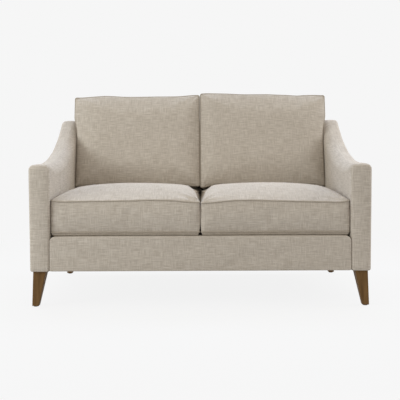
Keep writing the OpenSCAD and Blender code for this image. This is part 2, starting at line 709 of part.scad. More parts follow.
// A round cord along a cushion's outline at height z
module piping_loop(w, d, pull, z, seat) {
  path = swelled(flat_ring(cushion_plan(w, d, cushion_corner_r), w, d, pull, 1, 1, z), seat);
  n = len(path);
  m = piping_facets;
  points = [for (i = [0:n - 1]) let (a = path[(i + n - 1) % n], b = path[(i + 1) % n], t = b - a,
    out = [t[1], -t[0], 0] / norm(t)) for (k = [0:m - 1]) let (g = 360 * k / m)
    path[i] + piping_d / 2 * (cos(g) * out + sin(g) * [0, 0, 1])];
  polyhedron(points = points, faces = [for (i = [0:n - 1]) for (k = [0:m - 1])
    let (j = (i + 1) % n, l = (k + 1) % m, q = [i * m + k, j * m + k, j * m + l, i * m + l])
    each [[q[0], q[2], q[1]], [q[0], q[3], q[2]]]]);
}

// The channel for a zip in the middle of the border at the cushion's far side, and y on its floor
zip_floor = teeth_inset + zip_tape_t;
function zip_y(d, pull) = d / 2 - seam_in - pull * slot_share - zip_floor;
module zip_space(d, border, belly, pull) {
  translate([-zip_l / 2 - zip_end, zip_y(d, pull), (border + belly - zip_tape_w) / 2])
    cube([zip_l + 2 * zip_end, zip_floor + pull + overrun, zip_tape_w]);
}

module zip(d, border, belly, pull) {
  y = zip_y(d, pull);
  translate([-zip_l / 2 - zip_end, y, (border + belly - zip_tape_w) / 2])
    cube([zip_l + 2 * zip_end, zip_tape_t, zip_tape_w]);
  translate([-zip_l / 2, y + zip_tape_t, (border + belly - zip_teeth_w) / 2])
    cube([zip_l, zip_teeth_t, zip_teeth_w]);
}

// The slider straddles the teeth at the closed end, with its tab hanging beside it
module zip_slider(d, border, belly, pull) {
  y = zip_y(d, pull) + zip_tape_t + slide_gap;
  inner_w = zip_teeth_w + 2 * slide_gap;
  outer_w = inner_w + 2 * slider_wall;
  translate([-zip_l / 2 + slider_l / 2, y, (border + belly) / 2]) {
    difference() {
      translate([0, 0, -outer_w / 2]) cube([slider_l, zip_teeth_t + slider_wall, outer_w]);
      translate([-overrun, -overrun, -inner_w / 2])
        cube([slider_l + 2 * overrun, zip_teeth_t + overrun, inner_w]);
    }
    translate([slider_l, zip_teeth_t, -tab_w / 2]) cube([tab_l, slider_wall, tab_w]);
  }
}

// Seat cushions, as wide as half the seat and as deep as the seat behind the set-back
seat_w = inner_x - 2 * soft_gap - piping_d;
seat_rear_y = rear_y(deck_z + seat_belly, back_face_off) - soft_gap - piping_d / 2;
seat_front_y = front_y + seat_setback + piping_d / 2;
seat_d = seat_rear_y - seat_front_y;
seat_at = [inner_x / 2, (seat_rear_y + seat_front_y) / 2, deck_z + soft_gap];

module at_seat() {
  translate(seat_at) children();
}

module seat_cover() {
  color("#c4b9ab") at_seat() difference() {
    cushion(seat_w, seat_d, seat_border, seat_belly, seat_crown, seat_pull, true);
    core_box(seat_w, seat_d, seat_border, seat_belly);
    zip_space(seat_d, seat_border, seat_belly, seat_pull);
  }
}

// The block that the cover and its wrap enclose
module core_box(w, d, border, belly) {
  over = wrap_pad * core_pad_share;
  translate([-w / 2 + wrap_pad, -d / 2 + wrap_pad, belly + over])
    cube([w - 2 * wrap_pad, d - 2 * wrap_pad, border - belly - 2 * over]);
}

module seat_core() {
  color("#e8dfae") at_seat() core_box(seat_w, seat_d, seat_border, seat_belly);
}

module seat_piping() {
  color("#a79c8e") at_seat() for (z = [seat_belly, seat_border])
    piping_loop(seat_w, seat_d, seat_pull, z, true);
}

module seat_zip() {
  color("#d8d2c8") at_seat() zip(seat_d, seat_border, seat_belly, seat_pull);
}

module seat_zip_slider() {
  color("#9a9ca0") at_seat() zip_slider(seat_d, seat_border, seat_belly, seat_pull);
}

// Back cushions lean on the back and stand on the crown of the seat cushions
back_w = seat_w;
back_d = back_cushion_h - piping_d;
function seat_top_z(y) = seat_at[2] + seat_border + piping_d / 2
  + seat_crown * seat_share(2 * (y - seat_at[1]) / seat_d);
// How far up the lean the back cushion's lowest edge is, so that it clears the seat's crown all along
guess_up = (seat_at[2] + seat_border - leg_h) / cos(back_rake);
back_up = max([for (i = [0:lean_steps]) let (off = back_face_off + back_cushion_t * i / lean_steps,
  y = rear_foot_y - off * cos(back_rake) + guess_up * sin(back_rake))
  (seat_top_z(y) - leg_h - off * sin(back_rake)) / cos(back_rake)]) + soft_gap;

// Lays the children, drawn as a lying cushion, against the back with the zip's side down
module at_back() {
  translate([0, rear_foot_y, leg_h]) rotate([90 - back_rake, 0, 0])
    translate([inner_x / 2, back_up + back_cushion_h / 2, back_face_off + soft_gap])
      rotate([0, 0, 180]) children();
}

module back_cover() {
  color("#bdb1a2") at_back() difference() {
    cushion(back_w, back_d, back_cushion_t, back_belly, back_crown, back_pull, false);
    core_box(back_w, back_d, back_cushion_t, back_belly);
    zip_space(back_d, back_cushion_t, back_belly, back_pull);
  }
}

module back_core() {
  color("#efe9dc") at_back() core_box(back_w, back_d, back_cushion_t, back_belly);
}

module back_piping() {
  color("#a79c8e") at_back() for (z = [back_belly, back_cushion_t])
    piping_loop(back_w, back_d, back_pull, z, false);
}

module back_zip() {
  color("#d8d2c8") at_back() zip(back_d, back_cushion_t, back_belly, back_pull);
}

module back_zip_slider() {
  color("#9a9ca0") at_back() zip_slider(back_d, back_cushion_t, back_belly, back_pull);
}

side(-1) arm_cover();  // arm_cover_left
side(1) arm_cover();  // arm_cover_right
inside_back_cover();
outside_back_panel();
front_border();
seat_deck_pad();
dust_cover();
side(-1) arm_outer_ply();  // arm_outer_ply_left
side(1) arm_outer_ply();  // arm_outer_ply_right
side(-1) arm_inner_ply();  // arm_inner_ply_left
side(1) arm_inner_ply();  // arm_inner_ply_right
side(-1) arm_wrap_board();  // arm_wrap_board_left
side(1) arm_wrap_board();  // arm_wrap_board_right
side(-1) arm_front_post();  // arm_front_post_left
side(1) arm_front_post();  // arm_front_post_right
side(-1) back_post();  // back_post_left
side(1) back_post();  // back_post_right
back_centre_post();
back_top_rail();
back_tack_rail();
back_bottom_rail();
front_seat_rail();
rear_seat_rail();
side(-1) side_rail();  // side_rail_left
side(1) side_rail();  // side_rail_right
centre_rail();
corner_blocks();
leg_blocks();
side(-1) seat_springs();  // seat_springs_left
side(1) seat_springs();  // seat_springs_right
spring_clips();
back_webbing();
side(-1) front_leg();  // front_leg_left
side(1) front_leg();  // front_leg_right
side(-1) rear_leg();  // rear_leg_left
side(1) rear_leg();  // rear_leg_right
leg_bolts();
leg_nuts();
foot_glides();
side(-1) seat_cover();  // seat_cover_left
side(1) seat_cover();  // seat_cover_right
side(-1) seat_core();  // seat_core_left
side(1) seat_core();  // seat_core_right
side(-1) seat_piping();  // seat_piping_left
side(1) seat_piping();  // seat_piping_right
side(-1) seat_zip();  // seat_zip_left
side(1) seat_zip();  // seat_zip_right
side(-1) seat_zip_slider();  // seat_zip_slider_left
side(1) seat_zip_slider();  // seat_zip_slider_right
side(-1) back_cover();  // back_cover_left
side(1) back_cover();  // back_cover_right
side(-1) back_core();  // back_core_left
side(1) back_core();  // back_core_right
side(-1) back_piping();  // back_piping_left
side(1) back_piping();  // back_piping_right
side(-1) back_zip();  // back_zip_left
side(1) back_zip();  // back_zip_right
side(-1) back_zip_slider();  // back_zip_slider_left
side(1) back_zip_slider();  // back_zip_slider_right
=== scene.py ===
# Looks of the high back settee: its covers, cushions, piping, timber and metal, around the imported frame.
import math

import bpy
import numpy as np
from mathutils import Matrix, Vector

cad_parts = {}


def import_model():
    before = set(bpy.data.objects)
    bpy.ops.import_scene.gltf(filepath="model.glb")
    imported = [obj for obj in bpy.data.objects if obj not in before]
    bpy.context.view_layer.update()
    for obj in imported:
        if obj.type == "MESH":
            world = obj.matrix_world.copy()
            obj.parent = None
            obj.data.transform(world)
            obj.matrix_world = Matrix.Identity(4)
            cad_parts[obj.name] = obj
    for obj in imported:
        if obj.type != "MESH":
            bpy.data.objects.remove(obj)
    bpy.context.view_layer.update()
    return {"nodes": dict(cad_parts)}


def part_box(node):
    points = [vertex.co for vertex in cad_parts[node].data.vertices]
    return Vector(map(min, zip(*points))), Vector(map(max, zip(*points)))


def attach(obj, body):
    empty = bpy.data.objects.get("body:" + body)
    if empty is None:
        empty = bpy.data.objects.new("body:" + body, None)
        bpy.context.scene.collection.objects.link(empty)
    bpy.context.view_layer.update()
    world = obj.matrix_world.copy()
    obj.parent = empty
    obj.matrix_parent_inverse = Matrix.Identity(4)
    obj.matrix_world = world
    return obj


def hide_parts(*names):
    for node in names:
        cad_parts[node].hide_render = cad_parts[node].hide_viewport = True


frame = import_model()
NODES = frame["nodes"]
scene = bpy.context.scene

# Sizes in metres, as the frame has them. The arms:
ARM_W = 0.099
ARM_TAPER = 0.010
ARM_FRONT_H = 0.644
SCOOP_START = 0.144
SCOOP_R = 0.940
SHOULDER_R = 0.051
ARM_EDGE_R = 0.020
ARM_CROWN = 0.002
ARM_LOW_R = 0.009
ARM_FILLET_R = 0.007
LOW_EDGE_R = 0.004
# The back, whose planes lie off in front of its rear face:
LEAN = math.radians(10)
BACK_TOP_R = 0.020
BACK_NOSE_R = 0.025
PANEL_T = 0.006
COVER_OFF = 0.00605
FRAME_OFF = 0.009
WEB_OFF = 0.056
FACE_OFF = 0.089
# The border of the base, the piping and the gaps:
PAD = 0.020
BORDER_CORNER_R = 0.022
PIPING_R = 0.0035
SOFT_GAP = 0.0003
WELT_CORNER_R = 0.009
SEAT_SETBACK = 0.014

# Forms of the covers that the frame has plainer
NOSE_R = 0.016
ARM_INNER_R = 0.048
ARM_FRONT_SWELL = 0.005
ARM_SAG = 0.0025
FRONT_EDGE_R = 0.012
BORDER_EDGE_R = 0.0045

low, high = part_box("arm_cover_right")
INNER_X = low.x
FRONT_Y = low.y
LEG_H = low.z
ARM_X = INNER_X + ARM_W
BACK_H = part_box("inside_back_cover")[1].z
DECK_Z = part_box("seat_deck_pad")[1].z
DECK_LOW_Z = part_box("seat_deck_pad")[0].z
PANEL_TOP_Z = BACK_H - BACK_TOP_R
REAR_FOOT_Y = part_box("outside_back_panel")[0].y + PANEL_T * math.cos(LEAN)


def rear_y(z, off):
    """Y of the leaning plane that lies off in front of the settee's rear face, at height z."""
    return REAR_FOOT_Y + (z - LEG_H) * math.tan(LEAN) - off / math.cos(LEAN)


# Colours and nodes


def linear(code):
    """An sRGB colour such as #cbc3b7 as linear red, green and blue, with an alpha of 1."""
    parts = [int(code[i : i + 2], 16) / 255 for i in (1, 3, 5)]
    return [p / 12.92 if p <= 0.04045 else ((p + 0.055) / 1.055) ** 2.4 for p in parts] + [1.0]


def add(tree, kind, *values, inputs=(), **settings):
    """Adds a node with its settings. Values go to its inputs in order, inputs to those that it names.

    A value that is itself a node gives its first output.
    """
    made = tree.nodes.new("ShaderNode" + kind)
    for name, value in settings.items():
        setattr(made, name, value)
    for place, value in [*enumerate(values), *dict(inputs).items()]:
        if isinstance(value, bpy.types.Node):
            value = value.outputs[0]
        if isinstance(value, bpy.types.NodeSocket):
            tree.links.new(value, made.inputs[place])
        else:
            made.inputs[place].default_value = value
    return made


def new_tree(name):
    material = bpy.data.materials.new(name)
    material.use_nodes = True
    material.node_tree.nodes.clear()
    return material, material.node_tree


def solid_tree(name):
    """A new material with the place in the piece, which its pattern runs through."""
    material, tree = new_tree(name)
    return material, tree, add(tree, "TexCoord").outputs["Object"]


def surface(tree, colour, height, depth, **inputs):
    """The shader at the end of a material; height is a pattern from 0 to 1 that stands depth metres high."""
    values = {name.replace("_", " "): value for name, value in inputs.items()}
    bump = add(tree, "Bump", inputs={"Height": height, "Strength": 1.0, "Distance": depth})
    shader = add(tree, "BsdfPrincipled", inputs=values | {"Base Color": colour, "Normal": bump})
    add(tree, "OutputMaterial", shader)


def grains(along, width, length):
    """How many grains of a real width and length fit in a metre along each axis."""
    return [1 / (length if axis == along else width) for axis in range(3)]


# Woven linen, a plain weave of slubbed flax. The eye gets a pale, matt cloth crossed by thick and thin yarns,
# with a soft sheen where it turns away. The real threads lie about 1 mm apart and are drawn at 2.2 mm, and
# the slubs, thick places some 50 mm long, are drawn 4 mm wide, so that they show at a step's distance. The
# clouds are broad changes of tone, nine to the metre.
THREAD = 0.0022
SLUB_W = 0.0042
SLUB_L = 0.048
SLUB_H = 0.00035
CLOUDS = 9.0


def woven_linen(name, pale, deep, turn=0.0, slub=1.0):
    material, tree = new_tree(name)
    cloth = add(tree, "UVMap", uv_map="Cloth")
    cloth = add(tree, "Mapping", cloth, inputs={"Rotation": (0.0, 0.0, turn)})
    thick, thin = [], []
    for scale, shift, rare in (
            ((1 / SLUB_L, 1 / SLUB_W, 1.0), (3.1, 7.7, 0.0), 0.04),
            ((1 / SLUB_W, 1 / SLUB_L, 1.0), (11.3, 5.9, 0.0), 0.06)):
        yarn = add(tree, "Mapping", cloth, shift, inputs={"Scale": scale})
        yarn = add(tree, "TexNoise", yarn, inputs={"Scale": 1.0, "Detail": 2.0}, noise_dimensions="2D")
        thick.append(add(tree, "MapRange", yarn, 0.50 + rare, 0.66 + rare))
        thin.append(add(tree, "MapRange", yarn, 0.50 - rare, 0.34 - rare))
    slubs = add(tree, "Math", *thick, operation="MAXIMUM")
    share = add(tree, "Math", *thin, operation="MAXIMUM")
    share = add(tree, "Math", slubs, share, operation="SUBTRACT")
    share = add(tree, "Math", share, 0.45 * slub, operation="MULTIPLY")
    cloud = add(tree, "Mapping", cloth, (1.7, 2.3, 0.0), inputs={"Scale": (CLOUDS, CLOUDS, 1.0)})
    cloud = add(tree, "TexNoise", cloud, inputs={"Scale": 1.0, "Detail": 3.0}, noise_dimensions="2D")
    share = add(tree, "Math", share, add(tree, "MapRange", cloud, 0.3, 0.7, 0.45, 0.55), operation="ADD")
    colour = add(tree, "MixRGB", share, linear(deep), linear(pale))
    split = add(tree, "SeparateXYZ", cloth)
    waves = [add(tree, "Math", split.outputs[i], math.pi / THREAD, operation="MULTIPLY") for i in (0, 1)]
    waves = [add(tree, "Math", wave, operation="SINE") for wave in waves]
    weave = add(tree, "MapRange", add(tree, "Math", *waves, operation="MULTIPLY"), -1.0, 1.0, 0.0, 0.45)
    raised = add(tree, "Math", slubs, 0.55, operation="MULTIPLY")
    surface(tree, colour, add(tree, "Math", weave, raised, operation="ADD"), SLUB_H, Roughness=0.88,
        Specular_IOR_Level=0.22, Sheen_Weight=0.40, Sheen_Roughness=0.32, Sheen_Tint=linear(pale))
    return material


# Oak, planed and stained: a satin brown with long dark pores along the grain and a broad, soft figure
def stained_oak(name, pale, deep, along):
    material, tree, place = solid_tree(name)
    pores = add(tree, "Mapping", place, inputs={"Scale": grains(along, 0.0016, 0.045)})
    pores = add(tree, "TexNoise", pores, inputs={"Scale": 1.0, "Detail": 2.0})
    pores = add(tree, "MapRange", pores, 0.50, 0.72)
    figure = add(tree, "Mapping", place, (4.1, 2.2, 9.4), inputs={"Scale": grains(along, 0.016, 0.22)})
    figure = add(tree, "TexNoise", figure, inputs={"Scale": 1.0, "Detail": 3.0})
    figure = add(tree, "MapRange", figure, 0.32, 0.68)
    colour = add(tree, "MixRGB", figure, linear(deep), linear(pale))
    dark = add(tree, "Math", pores, 0.42, operation="MULTIPLY")
    colour = add(tree, "MixRGB", dark, colour, linear("#3b2a17"))
    surface(tree, colour, add(tree, "Math", 1.0, pores, operation="SUBTRACT"), 0.00012, Roughness=0.62,
        Specular_IOR_Level=0.18)
    return material


# Steamed beech, rough sawn: pale pink-brown with short fine flecks
def sawn_beech(name, along):
    material, tree, place = solid_tree(name)
    flecks = add(tree, "Mapping", place, inputs={"Scale": grains(along, 0.0022, 0.012)})
    flecks = add(tree, "TexNoise", flecks, inputs={"Scale": 1.0, "Detail": 2.0})
    flecks = add(tree, "MapRange", flecks, 0.52, 0.75)
    figure = add(tree, "Mapping", place, (8.1, 3.3, 1.4), inputs={"Scale": grains(along, 0.024, 0.35)})
    figure = add(tree, "TexNoise", figure, inputs={"Scale": 1.0, "Detail": 3.0})
    figure = add(tree, "MapRange", figure, 0.3, 0.7)
    colour = add(tree, "MixRGB", figure, linear("#b88f5d"), linear("#d2ae7e"))
    dark = add(tree, "Math", flecks, 0.35, operation="MULTIPLY")
    colour = add(tree, "MixRGB", dark, colour, linear("#8a6236"))
    surface(tree, colour, flecks, 0.0001, Roughness=0.66, Specular_IOR_Level=0.35)
    return material


# Birch plywood: smooth pale faces, and edges striped by veneers of 1.4 mm
VENEER = 0.0014


def birch_plywood(name, axis):
    material, tree, place = solid_tree(name)
    split = add(tree, "SeparateXYZ", place)
    veneer = add(tree, "Math", split.outputs[axis], math.pi / VENEER, operation="MULTIPLY")
    veneer = add(tree, "MapRange", add(tree, "Math", veneer, operation="SINE"), -0.25, 0.25)
    stripes = add(tree, "MixRGB", veneer, linear("#9c7340"), linear("#d9bd8b"))
    grain = add(tree, "Mapping", place, inputs={"Scale": (1 / 0.002, 1 / 0.09, 1 / 0.003)})
    grain = add(tree, "TexNoise", grain, inputs={"Scale": 1.0, "Detail": 3.0})
    share = add(tree, "MapRange", grain, 0.35, 0.7, 0.0, 0.3)
    colour = add(tree, "MixRGB", share, stripes, linear("#c49c62"))
    surface(tree, colour, grain, 0.00008, Roughness=0.6, Specular_IOR_Level=0.35)
    return material


# Bare metal, drawn, cast or stamped: fine scratches and a little uneven dulling
def metal(name, bright, dull, rough, scratch=0.0012):
    material, tree, place = solid_tree(name)
    marks = add(tree, "Mapping", place, inputs={"Scale": grains(2, scratch, 6 * scratch)})
    marks = add(tree, "TexNoise", marks, inputs={"Scale": 1.0, "Detail": 3.0})
    colour = add(tree, "MixRGB", add(tree, "MapRange", marks, 0.35, 0.7), linear(bright), linear(dull))
    surface(tree, colour, marks, 0.00003, Metallic=1.0,
        Roughness=add(tree, "MapRange", marks, 0.3, 0.7, rough, rough + 0.16))
    return material


# Jute webbing: coarse brown yarns of 2.5 mm, hairy and uneven in tone
JUTE_YARN = 0.0025


def jute_webbing(name):
    material, tree, place = solid_tree(name)
    split = add(tree, "SeparateXYZ", place)
    yarns = [add(tree, "Math", split.outputs[i], math.pi / JUTE_YARN, operation="MULTIPLY") for i in (0, 2)]
    yarns = [add(tree, "Math", yarn, operation="SINE") for yarn in yarns]
    weave = add(tree, "MapRange", add(tree, "Math", *yarns, operation="MULTIPLY"), -1.0, 1.0)
    tone = add(tree, "Mapping", place, inputs={"Scale": grains(2, 0.003, 0.02)})
    tone = add(tree, "TexNoise", tone, inputs={"Scale": 1.0, "Detail": 3.0})
    colour = add(tree, "MixRGB", add(tree, "MapRange", tone, 0.3, 0.7), linear("#4a3d2b"), linear("#8d7550"))
    dark = add(tree, "Math", weave, 0.4, operation="MULTIPLY")
    colour = add(tree, "MixRGB", dark, colour, linear("#2e261b"))
    surface(tree, colour, weave, 0.0006, Roughness=0.9, Sheen_Weight=0.2, Sheen_Roughness=0.5)
    return material


# Spun-bonded cloth or felt: thin, matt and fibrous, with small pressed dots 3.5 mm apart
DOTS = 1 / 0.0035


def spun_cloth(name, deep, pale):
    material, tree, place = solid_tree(name)
    dots = add(tree, "TexVoronoi", inputs={"Vector": place, "Scale": DOTS}).outputs["Distance"]
    fibres = add(tree, "Mapping", place, inputs={"Scale": grains(1, 0.001, 0.004)})
    fibres = add(tree, "TexNoise", fibres, inputs={"Scale": 1.0, "Detail": 4.0})
    colour = add(tree, "MixRGB", add(tree, "MapRange", fibres, 0.35, 0.7), linear(deep), linear(pale))
    surface(tree, colour, add(tree, "MapRange", dots, 0.1, 0.5), 0.0002, Roughness=0.85, Sheen_Weight=0.15,
        Sheen_Roughness=0.5)
    return material


# Cut flexible foam: matt, with fine open cells of 1.8 mm
CELLS = 1 / 0.0018


def cut_foam(name, pale, deep):
    material, tree, place = solid_tree(name)
    cells = add(tree, "TexVoronoi", inputs={"Vector": place, "Scale": CELLS}).outputs["Distance"]
    colour = add(tree, "MixRGB", add(tree, "MapRange", cells, 0.1, 0.7), linear(deep), linear(pale))
    surface(tree, colour, cells, 0.0005, Roughness=0.95)
    return material


# Moulded nylon: smooth, slightly waxy, with a faint mould texture
def moulded_nylon(name, colour):
    material, tree, place = solid_tree(name)
    skin = add(tree, "Mapping", place, inputs={"Scale": grains(2, 0.0006, 0.0006)})
    skin = add(tree, "TexNoise", skin, inputs={"Scale": 1.0, "Detail": 2.0})
    share = add(tree, "MapRange", skin, 0.4, 0.6, 0.0, 0.3)
    surface(tree, add(tree, "MixRGB", share, linear(colour), linear("#57524b")), skin, 0.00003, Roughness=0.42)
    return material


# Woven zip tape: matt, in fine ribs of 1.2 mm
RIB = 0.0012


def woven_tape(name, pale, deep):
    material, tree, place = solid_tree(name)
    split = add(tree, "SeparateXYZ", place)
    rib = add(tree, "Math", split.outputs[0], math.pi / RIB, operation="MULTIPLY")
    rib = add(tree, "MapRange", add(tree, "Math", rib, operation="SINE"), -1.0, 1.0)
    share = add(tree, "Math", rib, 0.5, operation="MULTIPLY")
    surface(tree, add(tree, "MixRGB", share, linear(pale), linear(deep)), rib, 0.0001, Roughness=0.8,
        Sheen_Weight=0.1)
    return material


LINEN = woven_linen("slubbed_linen", "#cbc3b8", "#b0a79b")
PANEL_LINEN = woven_linen("slubbed_linen_back_panel", "#c6bdb0", "#aca294")
# The piping is the same linen cut on the bias, turned 45 degrees and with weaker slubs. Its two colours are darker
# than the cover's: painted shade along the welts.
SHADED_PIPING_LINEN = woven_linen("slubbed_linen_bias_painted_shade", "#b9b0a3", "#9c9284", math.radians(45), 0.6)
FELT = spun_cloth("needled_felt", "#a79c8c", "#bdb3a4")

# Which timber, metal or cloth each node of the frame has; * stands for left and for right
CAD_FINISHES = (
    (stained_oak("stained_oak_leg", "#785b37", "#624828", 2), "front_leg_* rear_leg_*"),
    (sawn_beech("sawn_beech_x", 0),
        "back_top_rail back_tack_rail back_bottom_rail front_seat_rail rear_seat_rail"),
    (sawn_beech("sawn_beech_y", 1), "side_rail_* centre_rail"),
    (sawn_beech("sawn_beech_z", 2), "arm_front_post_* back_post_* back_centre_post corner_blocks leg_blocks"),
    (birch_plywood("birch_plywood", 0), "arm_outer_ply_* arm_inner_ply_* arm_wrap_board_*"),
    (metal("drawn_spring_wire", "#8d9093", "#797c7e", 0.36), "seat_springs_*"),
    (metal("zinc_clip_steel", "#a4a7aa", "#8d9092", 0.34), "spring_clips"),
    (metal("zinc_plated_bolt", "#b5b8ba", "#9c9fa0", 0.28), "leg_bolts"),
    (metal("turned_brass_nut", "#c2a35a", "#a78c4d", 0.3), "leg_nuts"),
    (metal("nickel_zip_slider", "#b9b7b0", "#a09e98", 0.24, 0.0006), "seat_zip_slider_* back_zip_slider_*"),
    (jute_webbing("jute_webbing"), "back_webbing"),
    (spun_cloth("black_dust_cloth", "#1d1c1b", "#2d2b2a"), "dust_cover"),
    (cut_foam("cut_seat_foam", "#ece2b4", "#c9ba82"), "seat_core_*"),
    (spun_cloth("down_proof_inner", "#ded8cb", "#efeade"), "back_core_*"),
    (moulded_nylon("moulded_nylon_glide", "#2f2c29"), "foot_glides"),
    (woven_tape("woven_zip_tape", "#d9d3c8", "#b5ad9f"), "seat_zip_* back_zip_*"),
)
for finish, members in CAD_FINISHES:
    for member in {name.replace("*", side) for name in members.split() for side in ("left", "right")}:
        NODES[member].data.materials.clear()
        NODES[member].data.materials.append(finish)


# Meshes


def arc(centre, r, a0, a1, steps, side=1, first=0):
    """Points of an arc, each with its outward normal; side is 1 on a convex stretch and -1 in a hollow."""
    out = []
    for i in range(first, steps + 1):
        a = math.radians(a0 + (a1 - a0) * i / steps)
        d = (math.cos(a), math.sin(a))
        out.append([centre[0] + r * d[0], centre[1] + r * d[1], side * d[0], side * d[1]])
    return out


def spaced(line, n, crowd=0.0):
    """n + 1 points along a line, closer together near its ends by crowd; further columns go with the first two."""
    line = np.array(line, float)
    steps = np.linalg.norm(np.diff(line[:, :2], axis=0), axis=1)
    along = np.concatenate([[0.0], np.cumsum(steps)])
    t = np.linspace(0.0, 1.0, n + 1)
    at = along[-1] * (t - crowd * np.sin(2 * math.pi * t) / (2 * math.pi))
    return np.stack([np.interp(at, along, column) for column in line.T], axis=1)


def rounded_sides(half, low, high, r, high_r, steps=6):
    """A rounded rectangle's sides below, right, above and left, which meet at the middles of its corners."""
    low_left, low_right = (-half + r, low + r), (half - r, low + r)
    high_left, high_right = (-half + high_r, high - high_r), (half - high_r, high - high_r)
    return (arc(low_left, r, 225, 270, steps) + arc(low_right, r, 270, 315, steps),
        arc(low_right, r, 315, 360, steps) + arc(high_right, high_r, 0, 45, 6),
        arc(high_left, high_r, 135, 90, 6) + arc(high_right, high_r, 90, 45, 6),
        arc(low_left, r, 225, 180, steps) + arc(high_left, high_r, 180, 135, 6))


def patch(low, right, high, left):
    """The grid of points between four edges; low and high run one way, left and right the other."""
    u = np.linspace(0, 1, len(low))[:, None, None]
    v = np.linspace(0, 1, len(left))[None, :, None]
    return ((1 - v) * low[:, None] + v * high[:, None] + (1 - u) * left[None] + u * right[None]
        - (1 - u) * (1 - v) * low[0] - u * (1 - v) * low[-1] - (1 - u) * v * high[0] - u * v * high[-1])


def rim(nu, nv):
    """Numbers of the points along a grid's edge, counter-clockwise."""
    row = nv + 1
    return np.array([i * row for i in range(nu)] + [nu * row + j for j in range(nv)]
        + [i * row + nv for i in range(nu, 0, -1)] + list(range(nv, 0, -1)))


def around(low, right, high, left):
    """The four edges of a patch as one closed loop, in rim's order."""
    return np.concatenate([low[:-1], right[:-1], high[:0:-1], left[:0:-1]])


def shell(low, rings, high):
    """A closed skin as points and faces: a grid below, rings of points around it, and a grid above."""
    nu, nv = low.shape[0] - 1, low.shape[1] - 1
    row, size, edge = nv + 1, (nu + 1) * (nv + 1), rim(nu, nv)
    points = np.concatenate([low.reshape(-1, 3), *rings, high.reshape(-1, 3)])
    top = size + sum(len(r) for r in rings)
    cells = [(i * row + j, (i + 1) * row + j, (i + 1) * row + j + 1, i * row + j + 1)
        for i in range(nu) for j in range(nv)]
    faces = [c[::-1] for c in cells] + [tuple(k + top for k in c) for c in cells]
    rows = [edge] + [size + k * len(edge) + np.arange(len(edge)) for k in range(len(rings))] + [edge + top]
    for a, b in zip(rows, rows[1:]):
        faces += [tuple(int(x) for x in f) for f in zip(a, np.roll(a, -1), np.roll(b, -1), b)]
    return points, faces


def swept(rings):
    """A skin over closed rings of points, with a flat face at each end."""
    n = len(rings[0])
    faces = [(k * n + i, k * n + (i + 1) % n, (k + 1) * n + (i + 1) % n, (k + 1) * n + i)
        for k in range(len(rings) - 1) for i in range(n)]
    last = (len(rings) - 1) * n
    return np.concatenate(rings), faces + [tuple(range(n))[::-1], tuple(range(last, last + n))]


def cord_loop(path, up, radius, sides=10):
    """A round cord along a closed path; up is square to the loop, or nearly so."""
    ahead = np.roll(path, -1, axis=0) - np.roll(path, 1, axis=0)
    ahead /= np.linalg.norm(ahead, axis=1)[:, None]
    out = np.cross(ahead, up)
    out /= np.linalg.norm(out, axis=1)[:, None]
    rise = np.cross(out, ahead)
    n = len(path)
    points = np.concatenate([path + radius * (math.cos(g) * out + math.sin(g) * rise)
        for g in np.arange(sides) * 2 * math.pi / sides])
    faces = [(k * n + i, k * n + (i + 1) % n, (k + 1) % sides * n + (i + 1) % n, (k + 1) % sides * n + i)
        for k in range(sides) for i in range(n)]
    return points, faces


def lay_cloth(mesh, axes, seed):
    """Maps the weave in metres: each face takes the two axes that it lies along, shifted by the seed."""
    co = np.empty(len(mesh.vertices) * 3)
    mesh.vertices.foreach_get("co", co)
    normals = np.empty(len(mesh.polygons) * 3)
    mesh.polygons.foreach_get("normal", normals)
    corners = np.empty(len(mesh.loops), int)
    mesh.loops.foreach_get("vertex_index", corners)
    counts = np.empty(len(mesh.polygons), int)
    mesh.polygons.foreach_get("loop_total", counts)
    local = co.reshape(-1, 3) @ np.array(axes).T
    facing = np.abs(normals.reshape(-1, 3) @ np.array(axes).T).argmax(1)
    pick = np.repeat(np.array([[1, 2], [0, 2], [0, 1]])[facing], counts, axis=0)
    uv = np.take_along_axis(local[corners], pick, axis=1) + (0.37 * seed, 0.91 * seed)
    layer = mesh.uv_layers.get("Cloth") or mesh.uv_layers.new(name="Cloth")
    layer.data.foreach_set("uv", uv.ravel())


WORLD_AXES = np.eye(3)


def piece(name, points, faces, material, body, stands_for=(), axes=WORLD_AXES, seed=1, sharp=40.0):
    """A named piece of the visual model, in place, which moves with a body."""
    mesh = bpy.data.meshes.new(name)
    mesh.from_pydata([tuple(p) for p in points], [], faces)
    mesh.polygons.foreach_set("use_smooth", [True] * len(mesh.polygons))
    mesh.set_sharp_from_angle(angle=math.radians(sharp))
    lay_cloth(mesh, axes, seed)
    mesh.materials.append(material)
    made = bpy.data.objects.new(name, mesh)
    scene.collection.objects.link(made)
    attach(made, body)
    if stands_for:
        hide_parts(*stands_for)
    return made


def ripple(points, seed, size, amount, waves=14):
    """Soft irregular unevenness: a sum of waves in random directions, about size long and amount high."""
    r = np.random.default_rng(seed)
    out = np.zeros(len(points))
    for _ in range(waves):
        way = r.normal(size=3)
        way *= 2 * math.pi / (size * r.uniform(0.7, 1.6)) / np.linalg.norm(way)
        out += np.sin(points @ way + r.uniform(0, 2 * math.pi))
    return amount * out / math.sqrt(waves / 2)


def smooth_step(t):
    """0 below 0, 1 above 1, and a smooth rise between."""
    t = np.clip(t, 0.0, 1.0)
    return t * t * (3 - 2 * t)


def unit_grid(nu, nv):
    """From -1 to 1 along the rows and the columns of a grid."""
    return np.linspace(-1, 1, nu + 1)[:, None], np.linspace(-1, 1, nv + 1)[None]


def bare(line):
    """The points of a line without their normals."""
    return [p[:2] for p in line]


